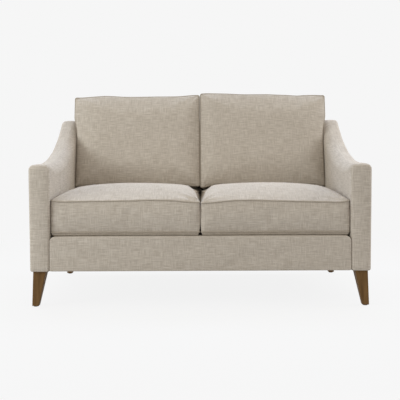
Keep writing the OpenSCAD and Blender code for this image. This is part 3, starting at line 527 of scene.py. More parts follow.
# The padded arms: a strip over the front and top, sewn to an inner and an outer side
SCOOP_C = (FRONT_Y + SCOOP_START, ARM_FRONT_H + SCOOP_R)
SHOULDER_Z = BACK_H - SHOULDER_R
SHOULDER_Y = SCOOP_C[0] + math.sqrt((SCOOP_R + SHOULDER_R) ** 2 - (SCOOP_C[1] - SHOULDER_Z) ** 2)
SCOOP_A = math.degrees(math.asin((SHOULDER_Y - SCOOP_C[0]) / (SCOOP_R + SHOULDER_R)))
REAR_TOP_C = (rear_y(PANEL_TOP_Z, COVER_OFF + BACK_TOP_R), PANEL_TOP_Z)
RAKE = math.degrees(LEAN)
REAR_TOP_A = 40
STUB = 0.002
SHOULDER_RUN, NOSE_RUN = 0.06, 0.15
SEAM_DEPTH = 0.0004
SEAM_STEPS = ((0.25, 0.35), (0.5, 1.0), (0.75, 0.35))
STRIP_CELLS = 14
ROUND_STEPS = 7
PUFF_OUT, PUFF_IN = 0.0022, 0.0008
SAG_END, SAG_RUN = 0.1, 0.5
WAVES_FROM = 0.02


def arm_edges(nu, nv):
    """The four edges of an arm in side view, as points with normals: below, rear, top and front."""
    nose_c = (FRONT_Y + NOSE_R, ARM_FRONT_H - NOSE_R)
    fillet_c = (FRONT_Y + ARM_FILLET_R, LEG_H + ARM_FILLET_R)
    foot = [rear_y(LEG_H, COVER_OFF), LEG_H]
    rear_n = [math.cos(LEAN), -math.sin(LEAN)]
    corner = foot + [math.cos(LEAN) / (1 + math.sin(LEAN)), -1.0]
    below = arc(fillet_c, ARM_FILLET_R, 225, 270, 4) + [[foot[0] - STUB, LEG_H, 0.0, -1.0], corner]
    rear = [corner, [rear_y(LEG_H + STUB, COVER_OFF), LEG_H + STUB] + rear_n]
    rear += arc(REAR_TOP_C, BACK_TOP_R, -RAKE, REAR_TOP_A, 6)
    top = arc(nose_c, NOSE_R, 135, 90, 6) + arc(SCOOP_C, SCOOP_R, 270, 270 + SCOOP_A, 60, -1)
    top += arc((SHOULDER_Y, SHOULDER_Z), SHOULDER_R, 90 + SCOOP_A, 90, 16, 1, 1)
    top += arc(REAR_TOP_C, BACK_TOP_R, 90, REAR_TOP_A, 6)
    front = arc(fillet_c, ARM_FILLET_R, 225, 180, 4) + arc(nose_c, NOSE_R, 180, 135, 6)
    return spaced(below, nu), spaced(rear, nv), spaced(top, nu), spaced(front, nv)


def arm_roundness(p, r):
    """How far the rounding between an arm's side and its edge reaches, at points with normals; r is its top's."""
    top_r = r + ((BACK_TOP_R + LOW_EDGE_R) / 2 - r) * smooth_step((p[:, 0] - SHOULDER_Y) / SHOULDER_RUN)
    top_r = ARM_EDGE_R + (top_r - ARM_EDGE_R) * smooth_step((p[:, 0] - FRONT_Y) / NOSE_RUN)
    return (LOW_EDGE_R + (top_r - LOW_EDGE_R) * np.maximum(0, p[:, 3])
        + (FRONT_EDGE_R - LOW_EDGE_R) * np.maximum(0, -p[:, 2])
        + (ARM_LOW_R - LOW_EDGE_R) * np.maximum(0, -p[:, 3]))


def arm_outer_x(z):
    """X of an arm's outer side, which leans out with the height."""
    return ARM_X - ARM_TAPER * (BACK_H - z) / (BACK_H - LEG_H)


def arm_cover(side, name, seed):
    nu, nv = 96, 64
    edges = arm_edges(nu, nv)
    loop = around(*edges)
    round_in, round_out = arm_roundness(loop, ARM_INNER_R), arm_roundness(loop, ARM_EDGE_R)
    sewn = np.clip(2 * np.maximum(loop[:, 3], -loop[:, 2]) - 0.6, 0, 1)

    def ring(t, turn, sink=0.0):
        """One loop; t runs from 0 at the inner side to 1 at the outer one, turn from 90 at a side to 0."""
        a = math.radians(turn)
        inset = (round_out if t > 0.5 else round_in) * (1 - math.cos(a)) + sink * sewn
        y, z = loop[:, 0] - loop[:, 2] * inset, loop[:, 1] - loop[:, 3] * inset
        inner = INNER_X + round_in * (1 - math.sin(a))
        outer = arm_outer_x(z) - round_out * (1 - math.sin(a))
        x = inner + (outer - inner) * t
        m = (x - (INNER_X + ARM_X) / 2) / (ARM_W / 2)
        z = z + ARM_CROWN * np.maximum(0, loop[:, 3]) * (1 - m * m) ** 2
        y = y + ARM_FRONT_SWELL * np.minimum(0, loop[:, 2]) * (1 - m * m)
        z = z - ARM_SAG * smooth_step((REAR_FOOT_Y - SAG_END - y) / SAG_RUN) * np.maximum(0, -loop[:, 3])
        return np.stack([x, y, z], axis=1)

    def side_grid(t):
        r = ARM_EDGE_R if t > 0.5 else ARM_INNER_R
        flat = patch(*[e[:, :2] - e[:, 2:] * arm_roundness(e, r)[:, None] for e in edges])
        x = np.where(t > 0.5, arm_outer_x(flat[..., 1]), INNER_X)
        u, v = unit_grid(nu, nv)
        puff = (1 - u**6) * (1 - v**6)
        place = np.concatenate([x[..., None], flat], axis=2).reshape(-1, 3)
        wave = ripple(place, seed, size=0.16, amount=0.0009).reshape(x.shape)
        x = x + (puff * (PUFF_OUT + wave) if t > 0.5 else puff * (PUFF_IN + np.abs(wave)))
        return np.concatenate([x[..., None], flat], axis=2)

    turns = [90 * (1 - k / ROUND_STEPS) for k in range(1, ROUND_STEPS + 1)]
    cell = 1.0 / STRIP_CELLS
    rings = [ring(0, turn) for turn in turns]
    rings += [ring(cell * t, 0, SEAM_DEPTH * share) for t, share in SEAM_STEPS]
    rings += [ring(t, 0) for t in np.linspace(cell, 1 - cell, 9)]
    rings += [ring(1 - cell * t, 0, SEAM_DEPTH * share) for t, share in SEAM_STEPS[::-1]]
    rings += [ring(1, turn) for turn in turns[::-1]]
    points, faces = shell(side_grid(0), rings, side_grid(1))
    soft = ripple(points, seed + 50, size=0.09, amount=0.0006)
    points[:, 2] += np.where(points[:, 2] > LEG_H + WAVES_FROM, soft, 0.0)
    if side < 0:
        points[:, 0] *= -1
        faces = [f[::-1] for f in faces]
    node = name.replace("padded_arm", "arm_cover")
    piece(name, points, faces, LINEN, "frame", [node], seed=seed)


arm_cover(-1, "padded_arm_left", 3)
arm_cover(1, "padded_arm_right", 8)


# The padded front of the base
BORDER_PUFF = 0.0016


def front_border():
    nu, nv = 150, 18
    sides = rounded_sides(INNER_X, LEG_H, DECK_Z - SOFT_GAP, LOW_EDGE_R, BORDER_CORNER_R, 3)
    edges = [spaced(side, n) for side, n in zip(sides, (nu, nv, nu, nv))]
    loop = around(*edges)

    def placed(p, y, inset, floor=0.0):
        return np.stack([p[..., 0] - p[..., 2] * inset, np.full(p.shape[:-1], y),
            np.maximum(p[..., 1] - p[..., 3] * inset, floor)], axis=-1)

    rear_edge_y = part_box("front_border")[1].y
    rear = patch(*[placed(edge, rear_edge_y, 0.0, DECK_LOW_Z) for edge in edges])
    face = patch(*[placed(edge, FRONT_Y, BORDER_EDGE_R) for edge in edges])
    u, v = unit_grid(nu, nv)
    wave = ripple(face.reshape(-1, 3), 21, size=0.14, amount=0.0008).reshape(face.shape[:2])
    face[..., 1] -= (1 - u**8) * (1 - v**4) * (BORDER_PUFF + wave)
    step_y = FRONT_Y + PAD
    rings = [placed(loop, step_y + 0.001, 0.0, DECK_LOW_Z), placed(loop, step_y, 0.0)]
    for turn in (math.radians(15 * k) for k in range(6)):
        rings.append(placed(loop, FRONT_Y + BORDER_EDGE_R * (1 - math.sin(turn)),
            BORDER_EDGE_R * (1 - math.cos(turn))))
    points, faces = shell(rear, rings, face)
    piece("padded_front_border", points, faces, LINEN, "frame", ["front_border"],
        seed=12)


front_border()


def along_settee(loop, half, n):
    """Copies of a Y-Z loop from -half to half across the settee."""
    return [np.array([[x, *p] for p in loop]) for x in np.linspace(-half, half, n + 1)]


# The padded inside of the back, which rolls over the top rail and is tacked down behind it
FLAP_L = 0.030
NOSE_STEPS = 8


def inside_back():
    flap_z = PANEL_TOP_Z - FLAP_L
    nose_z = BACK_H - BACK_NOSE_R
    nose = bare(arc((rear_y(nose_z, FACE_OFF - BACK_NOSE_R), nose_z), BACK_NOSE_R, 180 - RAKE, 90, NOSE_STEPS))
    roll = bare(arc(REAR_TOP_C, BACK_TOP_R, 90, -RAKE, NOSE_STEPS))
    face = [[rear_y(z, FACE_OFF), z] for z in np.linspace(DECK_LOW_Z, nose[0][1], 40)[:-1]]
    flap = [[rear_y(z, off), z] for z, off in ((flap_z, COVER_OFF), (flap_z, FRAME_OFF), (PANEL_TOP_Z, FRAME_OFF),
        (PANEL_TOP_Z, WEB_OFF), (DECK_LOW_Z, WEB_OFF))]
    rings = along_settee(face + nose + roll + flap, INNER_X, 100)
    for ring in rings:
        soft = ripple(ring, 31, size=0.2, amount=0.0012)
        shown = np.arange(len(ring)) < len(face) + NOSE_STEPS
        ring[:, 1] += np.where(shown, np.abs(soft) * 0.7, 0.0)
    points, faces = swept(rings)
    piece("padded_inside_back", points, faces, LINEN, "frame", ["inside_back_cover"],
        seed=15)


inside_back()

# The seat deck: cloth over felt, pressed into faint rows by the springs below
DECK_ROWS = 8
DECK_DIP, DECK_ROW_DIP = 0.0008, 0.0022
DECK_HEM = 0.01


def seat_deck():
    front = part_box("seat_deck_pad")[0].y
    rear = rear_y(DECK_Z, FACE_OFF)
    top = [[y, DECK_Z] for y in np.linspace(front, rear, 40)]
    loop = [[rear_y(DECK_LOW_Z, FACE_OFF), DECK_LOW_Z], [front, DECK_LOW_Z]] + top
    rings = along_settee(loop[::-1], INNER_X, 120)
    for ring in rings:
        dip = 0.5 + 0.5 * math.cos(2 * math.pi * DECK_ROWS * (ring[0][0] / INNER_X + 1) / 2)
        inside = (ring[:, 2] > DECK_Z - 0.001) & (ring[:, 1] > front + DECK_HEM) & (ring[:, 1] < rear - DECK_HEM)
        ring[:, 2] -= np.where(inside, DECK_DIP + DECK_ROW_DIP * dip, 0.0)
    points, faces = swept(rings)
    piece("felt_seat_deck", points, faces, FELT, "frame", ["seat_deck_pad"], seed=18)


seat_deck()

# The panel that closes the back: linen drawn over a board, with a little padding
PANEL_PUFF = 0.0016
PANEL_EDGE = ((0.0028, 0.0), (0.0016, 0.0004), (0.0006, 0.0012))
PANEL_FACE_IN = 0.0025


def back_panel():
    nu, nv = 120, 56
    length = (PANEL_TOP_Z - LEG_H) / math.cos(LEAN)
    low_x, top_x = arm_outer_x(LEG_H), arm_outer_x(PANEL_TOP_Z)
    r = ARM_EDGE_R
    below = [[-low_x, 0.0], [low_x, 0.0]]
    right = [[low_x, 0.0]] + bare(arc((top_x - r, length - r), r, 0, 45, 6))
    top = bare(arc((-top_x + r, length - r), r, 135, 90, 6) + arc((top_x - r, length - r), r, 90, 45, 6))
    left = [[-low_x, 0.0]] + bare(arc((-top_x + r, length - r), r, 180, 135, 6))
    edges = [spaced(edge, n) for edge, n in ((below, nu), (right, nv), (top, nu), (left, nv))]
    loop = around(*edges)
    middle = np.array([0.0, length / 2])
    up = np.array([0.0, math.sin(LEAN), math.cos(LEAN)])
    out = np.array([0.0, math.cos(LEAN), -math.sin(LEAN)])
    foot = np.array([0.0, REAR_FOOT_Y, LEG_H])

    def placed(p, off, inset=0.0):
        q = p - np.sign(p - middle) * np.minimum(inset, np.abs(p - middle))
        return foot + q[..., :1] * [1.0, 0.0, 0.0] + q[..., 1:2] * up - off * out

    u, v = unit_grid(nu, nv)
    face = placed(patch(*edges), 0.0, PANEL_FACE_IN)
    wave = ripple(face.reshape(-1, 3), 41, size=0.22, amount=0.0007).reshape(face.shape[:2])
    face += ((1 - u**6) * (1 - v**6) * (PANEL_PUFF + wave))[..., None] * out
    rings = [placed(loop, off, inset) for off, inset in PANEL_EDGE]
    points, faces = shell(placed(patch(*edges), PANEL_T), rings, face)
    piece("outside_back_cover", points, [f[::-1] for f in faces], PANEL_LINEN, "frame",
        ["outside_back_panel"], seed=24)


back_panel()

# Cushions. Each is made lying on its underside or rear face, with x across, y from front to rear or from
# bottom to top, and z square to it; u and v run from -1 to 1 along x and y.
SEAT_BELLY = 0.017
BACK_BELLY = 0.012
BACK_BORDER = 0.150
BACK_D = 0.520 - 2 * PIPING_R
CUSHION_W = INNER_X - 2 * SOFT_GAP - 2 * PIPING_R
SEAT_FRONT = FRONT_Y + SEAT_SETBACK + PIPING_R
SEAT_REAR = rear_y(DECK_Z + SEAT_BELLY, FACE_OFF) - SOFT_GAP - PIPING_R
UP = np.array([0.0, math.sin(LEAN), math.cos(LEAN)])
OUT = np.array([0.0, -math.cos(LEAN), math.sin(LEAN)])
back_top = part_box("back_piping_right")[1].z - PIPING_R * math.cos(LEAN)
back_mid = (back_top - LEG_H - (FACE_OFF + BACK_BORDER) * math.sin(LEAN)) / math.cos(LEAN) - BACK_D / 2
# pull is how far the sides are drawn in between the corners, pull_in the same beside the neighbour
SEAT = {"seat": True, "w": CUSHION_W, "d": SEAT_REAR - SEAT_FRONT, "belly": SEAT_BELLY, "border": 0.158,
    "crown": 0.062, "pull": 0.007, "pull_in": 0.022, "fill": 0.8, "folds": 1.0, "axes": np.eye(3),
    "at": np.array([INNER_X / 2, (SEAT_REAR + SEAT_FRONT) / 2, DECK_Z + SOFT_GAP])}
BACK = {"seat": False, "w": CUSHION_W, "d": BACK_D, "belly": BACK_BELLY, "border": BACK_BORDER,
    "crown": 0.042, "pull": 0.010, "pull_in": 0.0, "fill": 0.7, "folds": 0.35,
    "axes": np.array([[1.0, 0.0, 0.0], UP, OUT]),
    "at": np.array([INNER_X / 2, REAR_FOOT_Y, LEG_H]) + back_mid * UP + (FACE_OFF + SOFT_GAP) * OUT}

CELL = 0.0105
CORNER_CROWD = 0.7
SEAM_IN = 0.0022
BAND_SWELL = SEAM_IN + PIPING_R
SIDE_PULL = 0.0005
GAP_AT, GAP_END = 0.30, 1.0
BELLY_R = 0.016
BELLY_POWER = 3
CROWN_BEFORE = 0.9
FRONT_SWELL, SWELL_RUN = 0.009, 0.060
# The crown of a seat: how far in its shoulder runs and how much of its height that takes, outside and inside
PEAK = -0.1
SHOULDER, SHOULDER_IN = 0.050, 0.040
SHOULDER_SHARE, SHOULDER_SHARE_IN = 0.54, 0.76
FLANK_LEAN = 0.25
FLANK_SOFT = 0.004
# Folds at the corners of the upper panel and puckers along its seams: heights and reaches
FOLD_H, FOLD_FROM, FOLD_REACH = 0.0052 * 2.2, 0.02, 0.06
PUCKER_H, PUCKER_REACH = 0.0006, 0.016
PUCKER_SIZES = (0.0045, 0.007, 0.012)
SEAM_BELOW, SEAM_RUN = 0.004, 0.006
BACK_FLARE = 0.016
FLARE_BELOW, FLARE_RISE = 0.008, 0.040
# The stuffing's pressure, how much the cloth gives, and the furthest that a point may move
PRESSURE = 2.6
LOOSEN = 0.006
MOVE_CAP = 0.012
# The zip's channel in the hidden border, and the rows of points across it
ZIP_L = 0.520
ZIP_DEEP = 0.0037 + 0.0048
ZIP_END = 0.010
CHANNEL_END = ZIP_L / 2 + ZIP_END + 0.004
CHANNEL_CLEAR = 0.0004
CHANNEL_ROWS = (-0.0095, -0.008, -0.0045, 0.0, 0.0045, 0.008, 0.0095)
CHANNEL_HALF, CHANNEL_ROOM = 0.009, 0.012
SLOT_SHARE = 0.55
# How the seams wander, from the middle of the photographed seams: share across the cushion, rise in metres
SEAT_SEAM = {
    "left": ((-1, 0.0068), (-0.9, -0.0013), (-0.6, 0.0003), (0.05, 0.0023), (0.37, 0.0059), (0.68, 0.0025),
        (0.88, -0.0058), (1, -0.006)),
    "right": ((-1, -0.01), (-0.88, -0.0082), (-0.7, -0.0024), (-0.58, 0.0024), (-0.3, 0.003), (0.02, -0.0004),
        (0.7, -0.0064), (0.88, -0.0086), (1, 0.0002)),
}
BACK_SEAM = {
    "left": ((-1, -0.016), (-0.9, -0.0135), (-0.72, -0.0055), (-0.55, 0.0), (-0.4, -0.001), (-0.25, -0.004),
        (0.3, -0.003), (0.65, -0.006), (0.9, -0.0025), (1, -0.0045)),
    "right": ((-1, 0.003), (-0.9, 0.008), (-0.57, 0.010), (-0.3, 0.0075), (0.1, 0.0085), (0.42, 0.002),
        (0.6, -0.004), (0.75, -0.002), (0.93, -0.005), (1, -0.008)),
}
CORNER_SAG = {"left": 0.0, "right": 0.008}
# The height over a seat's lower seam up to which its border keeps straight
STILL = 0.02


def cushion_edges(w, d, r, nu, nv):
    """The seam around a cushion's panel as four lines of points, closer together near the corners."""
    sides = rounded_sides(w / 2, -d / 2, d / 2, r, r)
    return [spaced(side, n, CORNER_CROWD)[:, :2] for side, n in zip(sides, (nu, nv, nu, nv))]


def at_height(p, z):
    """Points of a flat loop at height z."""
    return np.concatenate([p, np.full((len(p), 1), z)], axis=1)


def inner_gap(v):
    """Share of the inner pull at v: nothing at the front corner, most at mid-depth, nothing again behind."""
    return np.where(v < GAP_AT, (1 + v) / (1 + GAP_AT), smooth_step((GAP_END - v) / (GAP_END - GAP_AT)))


def drawn_in(p, c, keep=1.0, keep_in=1.0):
    """Pulls the sides in between the corners; keep_in is what a border keeps of it on its inner side."""
    u, v = 2 * p[..., 0] / c["w"], 2 * p[..., 1] / c["d"]
    side = np.where(u * c["sign"] < 0, c["pull_in"] * inner_gap(v) * keep_in, SIDE_PULL * keep * (1 - v**2))
    return np.stack([p[..., 0] - u * side, p[..., 1] - v * c["pull"] * keep * (1 - u**2)], axis=-1)


def crown_height(p, c):
    """Height of the crown over the upper seam; a seat's is fullest near its front."""
    u = np.clip(2 * p[..., 0] / c["w"], -1, 1)
    v = np.clip(2 * p[..., 1] / c["d"], -1, 1)
    if not c["seat"]:
        return c["crown"] * np.sqrt(1 - u**6) * (1 - v**6) ** 0.6
    front = (1 - (np.maximum(PEAK - v, 0) / (1 + PEAK)) ** 3) ** (0.75 - 0.3 * u**4)
    rear = 1 - (np.maximum(v - PEAK, 0) / (1 - PEAK)) ** 1.2
    outer = u * c["sign"] > 0
    t = np.clip((1 - np.abs(u)) * c["w"] / 2 / np.where(outer, SHOULDER, SHOULDER_IN), 0, 1)
    steep = np.where(outer, SHOULDER_SHARE, SHOULDER_SHARE_IN)
    across = steep * np.sqrt(1 - (1 - t) ** 2) + (1 - steep) * (1 - u**2)
    return c["crown"] * across * np.where(v < PEAK, front, rear)


def unfilled_cover(c, nu, nv):
    """A cover before it is stuffed: its points, its faces and the number of rings in its border."""
    w, d, corner_r = c["w"] - 2 * SEAM_IN, c["d"] - 2 * SEAM_IN, WELT_CORNER_R - SEAM_IN
    plan = patch(*cushion_edges(w, d, corner_r, nu, nv))
    near = np.minimum(8 * (w / 2 - np.abs(plan[..., 0])), d / 2 - np.abs(plan[..., 1]))
    turn = 1 - np.clip(near / BELLY_R, 0, 1)
    base = drawn_in(plan, c)
    low = np.concatenate([base, (c["belly"] * (1 - (1 - turn**BELLY_POWER) ** (1 / BELLY_POWER)))[..., None]], axis=2)
    high = np.concatenate([base, (c["border"] + CROWN_BEFORE * crown_height(plan, c))[..., None]], axis=2)
    height = c["border"] - c["belly"]
    rows = max(4, round(height / CELL))
    rings = []
    for k in range(1, rows):
        t = k / rows
        swell = 4 * t * (1 - t)
        q = around(*cushion_edges(w + 2 * BAND_SWELL * swell**0.25, d, corner_r, nu, nv))
        q = drawn_in(q, c, 1 - (1 - SLOT_SHARE) * swell, 1 - swell**1.2)
        if c["seat"]:
            run = np.clip((w / 2 - np.abs(q[:, 0])) / SWELL_RUN, 0, 1)
            q[:, 1] -= FRONT_SWELL * math.sqrt(swell) * (1 - (1 - run) ** 2) * smooth_step(-4 * q[:, 1] / d - 1)
        rings.append(at_height(q, c["belly"] + height * t))
    return *shell(low, rings, high), rows - 1


def filled_with_pressure(points, faces, pinned):
    """Blows the cover up like a stuffed cushion, as cloth, and returns where its points end."""
    mesh = bpy.data.meshes.new("stuffing")
    mesh.from_pydata([tuple(p) for p in points], [], faces)
    made = bpy.data.objects.new("stuffing", mesh)
    scene.collection.objects.link(made)
    made.vertex_groups.new(name="seams").add([int(i) for i in pinned], 1.0, "REPLACE")
    cloth = made.modifiers.new("Cloth", "CLOTH")
    linen = cloth.settings
    linen.quality = 5
    linen.mass = 0.25
    linen.tension_stiffness = linen.compression_stiffness = 12
    linen.shear_stiffness = 6
    linen.bending_stiffness = 0.4
    linen.vertex_group_mass = "seams"
    linen.use_pressure = True
    linen.uniform_pressure_force = PRESSURE
    linen.shrink_min = -LOOSEN
    linen.effector_weights.gravity = 0
    cloth.collision_settings.use_collision = False
    for number in range(1, 21):
        scene.frame_set(number)
    done = made.evaluated_get(bpy.context.evaluated_depsgraph_get())
    co = np.empty(len(points) * 3)
    done.data.vertices.foreach_get("co", co)
    scene.frame_set(1)
    bpy.data.objects.remove(made)
    move = co.reshape(-1, 3) - points
    far = np.maximum(np.linalg.norm(move, axis=1)[:, None], 1e-9)
    return points + move / far * MOVE_CAP * np.tanh(far / MOVE_CAP)


def with_zip_channel(points, c, rings, nu, nv):
    """Adds rows to the border and sinks a channel for the zip into its middle, on the hidden side."""
    size = (nu + 1) * (nv + 1)
    low = points[:size].reshape(nu + 1, nv + 1, 3)
    high = points[-size:].reshape(nu + 1, nv + 1, 3)
    edge = rim(nu, nv)
    old = np.concatenate([points[edge][None], points[size:-size].reshape(rings, -1, 3), points[-size:][edge][None]])
    height = c["border"] - c["belly"]
    middle = [z / height + 0.5 for z in CHANNEL_ROWS]
    kept = [t for t in np.linspace(0, 1, rings + 2)[1:-1] if abs(t - 0.5) * height > CHANNEL_ROOM]
    at = np.array(sorted(kept + middle)) * (rings + 1)
    below = np.minimum(at.astype(int), rings)
    share = (at - below)[:, None, None]
    band = old[below] * (1 - share) + old[below + 1] * share
    hidden = 1 if c["seat"] else -1
    floor = c["d"] / 2 - ZIP_DEEP - c["pull"] * SLOT_SHARE - CHANNEL_CLEAR
    for t, ring in zip(at / (rings + 1), band):
        if abs(t - 0.5) * height < CHANNEL_HALF:
            inside = (np.abs(ring[:, 0]) < CHANNEL_END) & (ring[:, 1] * hidden > 0.4 * c["d"])
            ring[inside, 1] = hidden * floor
    return shell(low, list(band), high)


def corner_folds(p, c, r):
    """Short folds that fan out from each corner of a stuffed panel, and puckers along its seams."""
    u, v = p[:, 0], p[:, 1]
    out = np.zeros(len(p))
    for su in (-1, 1):
        for sv in (-1, 1):
            du, dv = c["w"] / 2 - su * u, c["d"] / 2 - sv * v
            reach = np.hypot(du, dv)
            turn = np.arctan2(np.maximum(dv, 1e-6), np.maximum(du, 1e-6))
            folds = r.integers(4, 7)
            height = FOLD_H * c["folds"] * r.uniform(0.7, 1.3)
            fan = np.sin(folds * 2 * turn + r.uniform(0, 6)) * np.sin(2 * turn)
            out += height * fan * np.exp(-reach / FOLD_REACH) * (1 - np.exp(-reach / FOLD_FROM))
    for near, along in ((c["w"] / 2 - np.abs(u), v + np.sign(u)), (c["d"] / 2 - np.abs(v), u + 3 * np.sign(v))):
        wave = sum(np.sin(along / (size * r.uniform(0.8, 1.3)) + r.uniform(0, 6)) for size in PUCKER_SIZES)
        out += PUCKER_H * wave * np.exp(-np.maximum(near, 0) / PUCKER_REACH)
    return out


def kept_from_neighbour(points, c):
    """Eases the inner flank of a seat's crown back to a leaning plane, so that two crowns don't meet."""
    edge = c["w"] / 2 - c["pull_in"] * inner_gap(2 * points[:, 1] / c["d"])
    room = edge - FLANK_LEAN * (points[:, 2] - c["border"]) + c["sign"] * points[:, 0]
    flank = (points[:, 2] > c["border"]) & (room < FLANK_SOFT)
    eased = FLANK_SOFT * np.exp(room / FLANK_SOFT - 1) - room
    points[:, 0] += np.where(flank, c["sign"] * eased, 0.0)
    return points


def flared(p, c):
    """Above the arm the outer side of a back cushion swells out."""
    place = c["at"] + p @ c["axes"]
    run = np.clip(place[:, 1] - SCOOP_C[0], 0, SHOULDER_Y - SCOOP_C[0])
    arm_z = np.where(place[:, 1] > REAR_TOP_C[0] - 0.02, BACK_H, SCOOP_C[1] - np.sqrt(SCOOP_R**2 - run**2))
    moved = p.copy()
    share = np.maximum(0, c["sign"] * 2 * p[:, 0] / c["w"])
    rise = (place[:, 2] - arm_z + FLARE_BELOW) / (BACK_H - arm_z + FLARE_RISE)
    moved[:, 0] += c["sign"] * share * BACK_FLARE * smooth_step(rise)
    return moved


def wander(p, c):
    """Lets the upper front seam of a seat cushion, or the top of a back cushion, rise and sink a little."""
    table = np.array((SEAT_SEAM if c["seat"] else BACK_SEAM)[c["side"]])
    u, v = 2 * p[:, 0] / c["w"], p[:, 1] / c["d"] * 2
    fine = np.linspace(-1, 1, 81)
    raw = np.interp(fine, table[:, 0], table[:, 1])
    kernel = np.hanning(9) / np.hanning(9).sum()
    rise = np.interp(u, fine, np.convolve(np.pad(raw, 4, mode="edge"), kernel, mode="valid"))
    moved = p.copy()
    if c["seat"]:
        low, height = c["belly"] + STILL, c["border"] - c["belly"] - STILL
        moved[:, 2] += rise * smooth_step((-v - 0.1) / 0.9) * smooth_step((p[:, 2] - low) / height)
        return moved
    moved[:, 1] += rise * smooth_step((v + 0.2) / 1.2)
    past_zip = 2 * CHANNEL_END / c["w"]
    sag = CORNER_SAG[c["side"]] * smooth_step((-u * c["sign"] - past_zip) / (1 - past_zip))
    moved[:, 1] -= sag * smooth_step((-v - 0.4) / 0.6)
    return moved


def welts(name, c, nu, nv, seed):
    """The two rows of piping of a cushion."""
    flat = drawn_in(around(*cushion_edges(c["w"], c["d"], WELT_CORNER_R, 2 * nu, 2 * nv)), c)
    cords, faces = [], []
    for z in (c["belly"], c["border"]):
        path = at_height(flat, z)
        path = wander(path if c["seat"] else flared(path, c), c)
        tube, tube_faces = cord_loop(path, np.array([0.0, 0.0, 1.0]), PIPING_R - 0.0003)
        faces += [tuple(i + sum(len(x) for x in cords) for i in f) for f in tube_faces]
        cords.append(tube)
    kind, side = name.split("_cushion_")
    piece(f"{kind}_welts_{side}", c["at"] + np.concatenate(cords) @ c["axes"], faces, SHADED_PIPING_LINEN, name,
        [f"{kind}_piping_{side}"], c["axes"], seed, 180)


def cushion(kind, side, seed):
    """A stuffed cushion with its two rows of piping."""
    sign = -1 if side == "left" else 1
    c = {**(SEAT if kind == "seat" else BACK), "side": side, "sign": sign}
    c["at"] = c["at"] * [sign, 1.0, 1.0]
    nu, nv = round(c["w"] / CELL), round(c["d"] / CELL)
    size = (nu + 1) * (nv + 1)
    points, faces, rings = unfilled_cover(c, nu, nv)
    pinned = np.concatenate([np.arange(size), len(points) - size + rim(nu, nv)])
    points = filled_with_pressure(points, faces, pinned)
    points, faces = with_zip_channel(points, c, rings, nu, nv)
    upper = points[-size:]
    folds = corner_folds(upper, c, np.random.default_rng(seed))
    upper[:, 2] += folds * smooth_step((upper[:, 2] - c["border"] + SEAM_BELOW) / SEAM_RUN)
    points[:, 2] = np.maximum(points[:, 2], 0.0)
    limit = c["w"] / 2 + PIPING_R
    points[:, 0] = np.clip(points[:, 0], -limit, limit)
    points = wander(kept_from_neighbour(points, c) if c["seat"] else flared(points, c), c)
    name = f"{kind}_cushion_{side}"
    made = piece(name, c["at"] + points @ c["axes"], faces, LINEN, name, [f"{kind}_cover_{side}"],
        c["axes"], seed, 75)
    made.modifiers.new("Finer", "SUBSURF").render_levels = 1
    welts(name, c, nu, nv, seed + 5)


for number, (kind, side) in enumerate((k, s) for k in ("seat", "back") for s in ("left", "right")):
    cushion(kind, side, 60 + 7 * number)


# Floor, lamps and camera
BACKDROP = "#f6f6f6"
FLOOR_HALF = 30
NEAR, FAR = 0.9, 2.2
GLOW_SHARE = 0.90
WORLD_LIGHT = 0.75


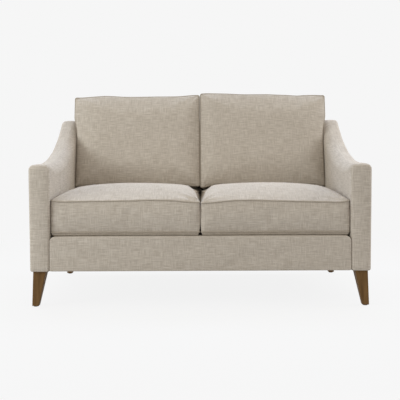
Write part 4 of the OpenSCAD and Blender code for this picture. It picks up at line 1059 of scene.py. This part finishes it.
def floor():
    """A pale floor that keeps the shadow near the settee and runs into the backdrop further away."""
    mesh = bpy.data.meshes.new("floor")
    corners = [(x * FLOOR_HALF, y * FLOOR_HALF, 0) for x, y in ((-1, -1), (1, -1), (1, 1), (-1, 1))]
    mesh.from_pydata(corners, [], [(0, 1, 2, 3)])
    made = bpy.data.objects.new("floor", mesh)
    scene.collection.objects.link(made)
    material, tree = new_tree("white_studio_floor")
    shade = add(tree, "BsdfDiffuse", linear("#c4c4c4"))
    glow = add(tree, "Emission", linear("#fbfbfb"), 1.0)
    backdrop = add(tree, "Emission", linear(BACKDROP), 1.0)
    path = add(tree, "LightPath").outputs
    seen = add(tree, "Math", path["Is Camera Ray"], path["Is Glossy Ray"], operation="MAXIMUM")
    place = add(tree, "NewGeometry").outputs["Position"]
    away = add(tree, "VectorMath", place, operation="LENGTH").outputs["Value"]
    near = add(tree, "MixShader", GLOW_SHARE, shade, glow)
    pale = add(tree, "MixShader", add(tree, "MapRange", away, NEAR, FAR), near, backdrop)
    add(tree, "OutputMaterial", add(tree, "MixShader", seen, shade, pale))
    mesh.materials.append(material)


def world():
    made = bpy.data.worlds.new("studio")
    scene.world = made
    made.use_nodes = True
    tree = made.node_tree
    tree.nodes.clear()
    path = add(tree, "LightPath").outputs
    seen = add(tree, "Math", path["Is Camera Ray"], path["Is Glossy Ray"], operation="MAXIMUM")
    seen = add(tree, "Math", seen, path["Is Transmission Ray"], operation="MAXIMUM")
    light = add(tree, "Background", linear("#fff9f0"), WORLD_LIGHT)
    backdrop = add(tree, "Background", linear(BACKDROP), 1.0)
    add(tree, "OutputWorld", add(tree, "MixShader", seen, light, backdrop))


def lamp(name, at, aim, size, watts, colour):
    light = bpy.data.lights.new(name, "AREA")
    light.shape = "RECTANGLE"
    light.size, light.size_y = size
    light.energy = watts
    light.color = linear(colour)[:3]
    made = bpy.data.objects.new(name, light)
    made.location = at
    made.rotation_euler = (Vector(aim) - Vector(at)).to_track_quat("-Z", "Y").to_euler()
    scene.collection.objects.link(made)


floor()
world()
lamp("left_front", (-3.2, -1.6, 1.4), (0.0, 0.0, 0.5), (1.2, 1.2), 44, "#f8feff")
lamp("right_side", (3.0, 0.1, 1.9), (-0.6, 0.0, 0.5), (0.8, 1.2), 31, "#ffffff")
lamp("rear_strip", (0.0, 1.2, 2.8), (0.0, -0.2, 0.5), (6.0, 1.0), 76, "#ccdfff")

# The camera stands level, 3 m in front of the settee, and leans by a quarter of a degree as the photograph does
CAMERA_AWAY = 3.0
CAMERA_Z = 0.732
CAMERA_ROLL = math.radians(0.24)
camera = bpy.data.objects.new("camera", bpy.data.cameras.new("camera"))
camera.location = (0.0, FRONT_Y - CAMERA_AWAY, CAMERA_Z)
camera.rotation_euler = (math.radians(90), CAMERA_ROLL, 0.0)
camera.data.lens = 59.6
camera.data.sensor_width = 36.0
camera.data.shift_y = -0.1375
camera.data.dof.use_dof = False
scene.collection.objects.link(camera)
scene.camera = camera
scene.view_settings.view_transform = "Standard"
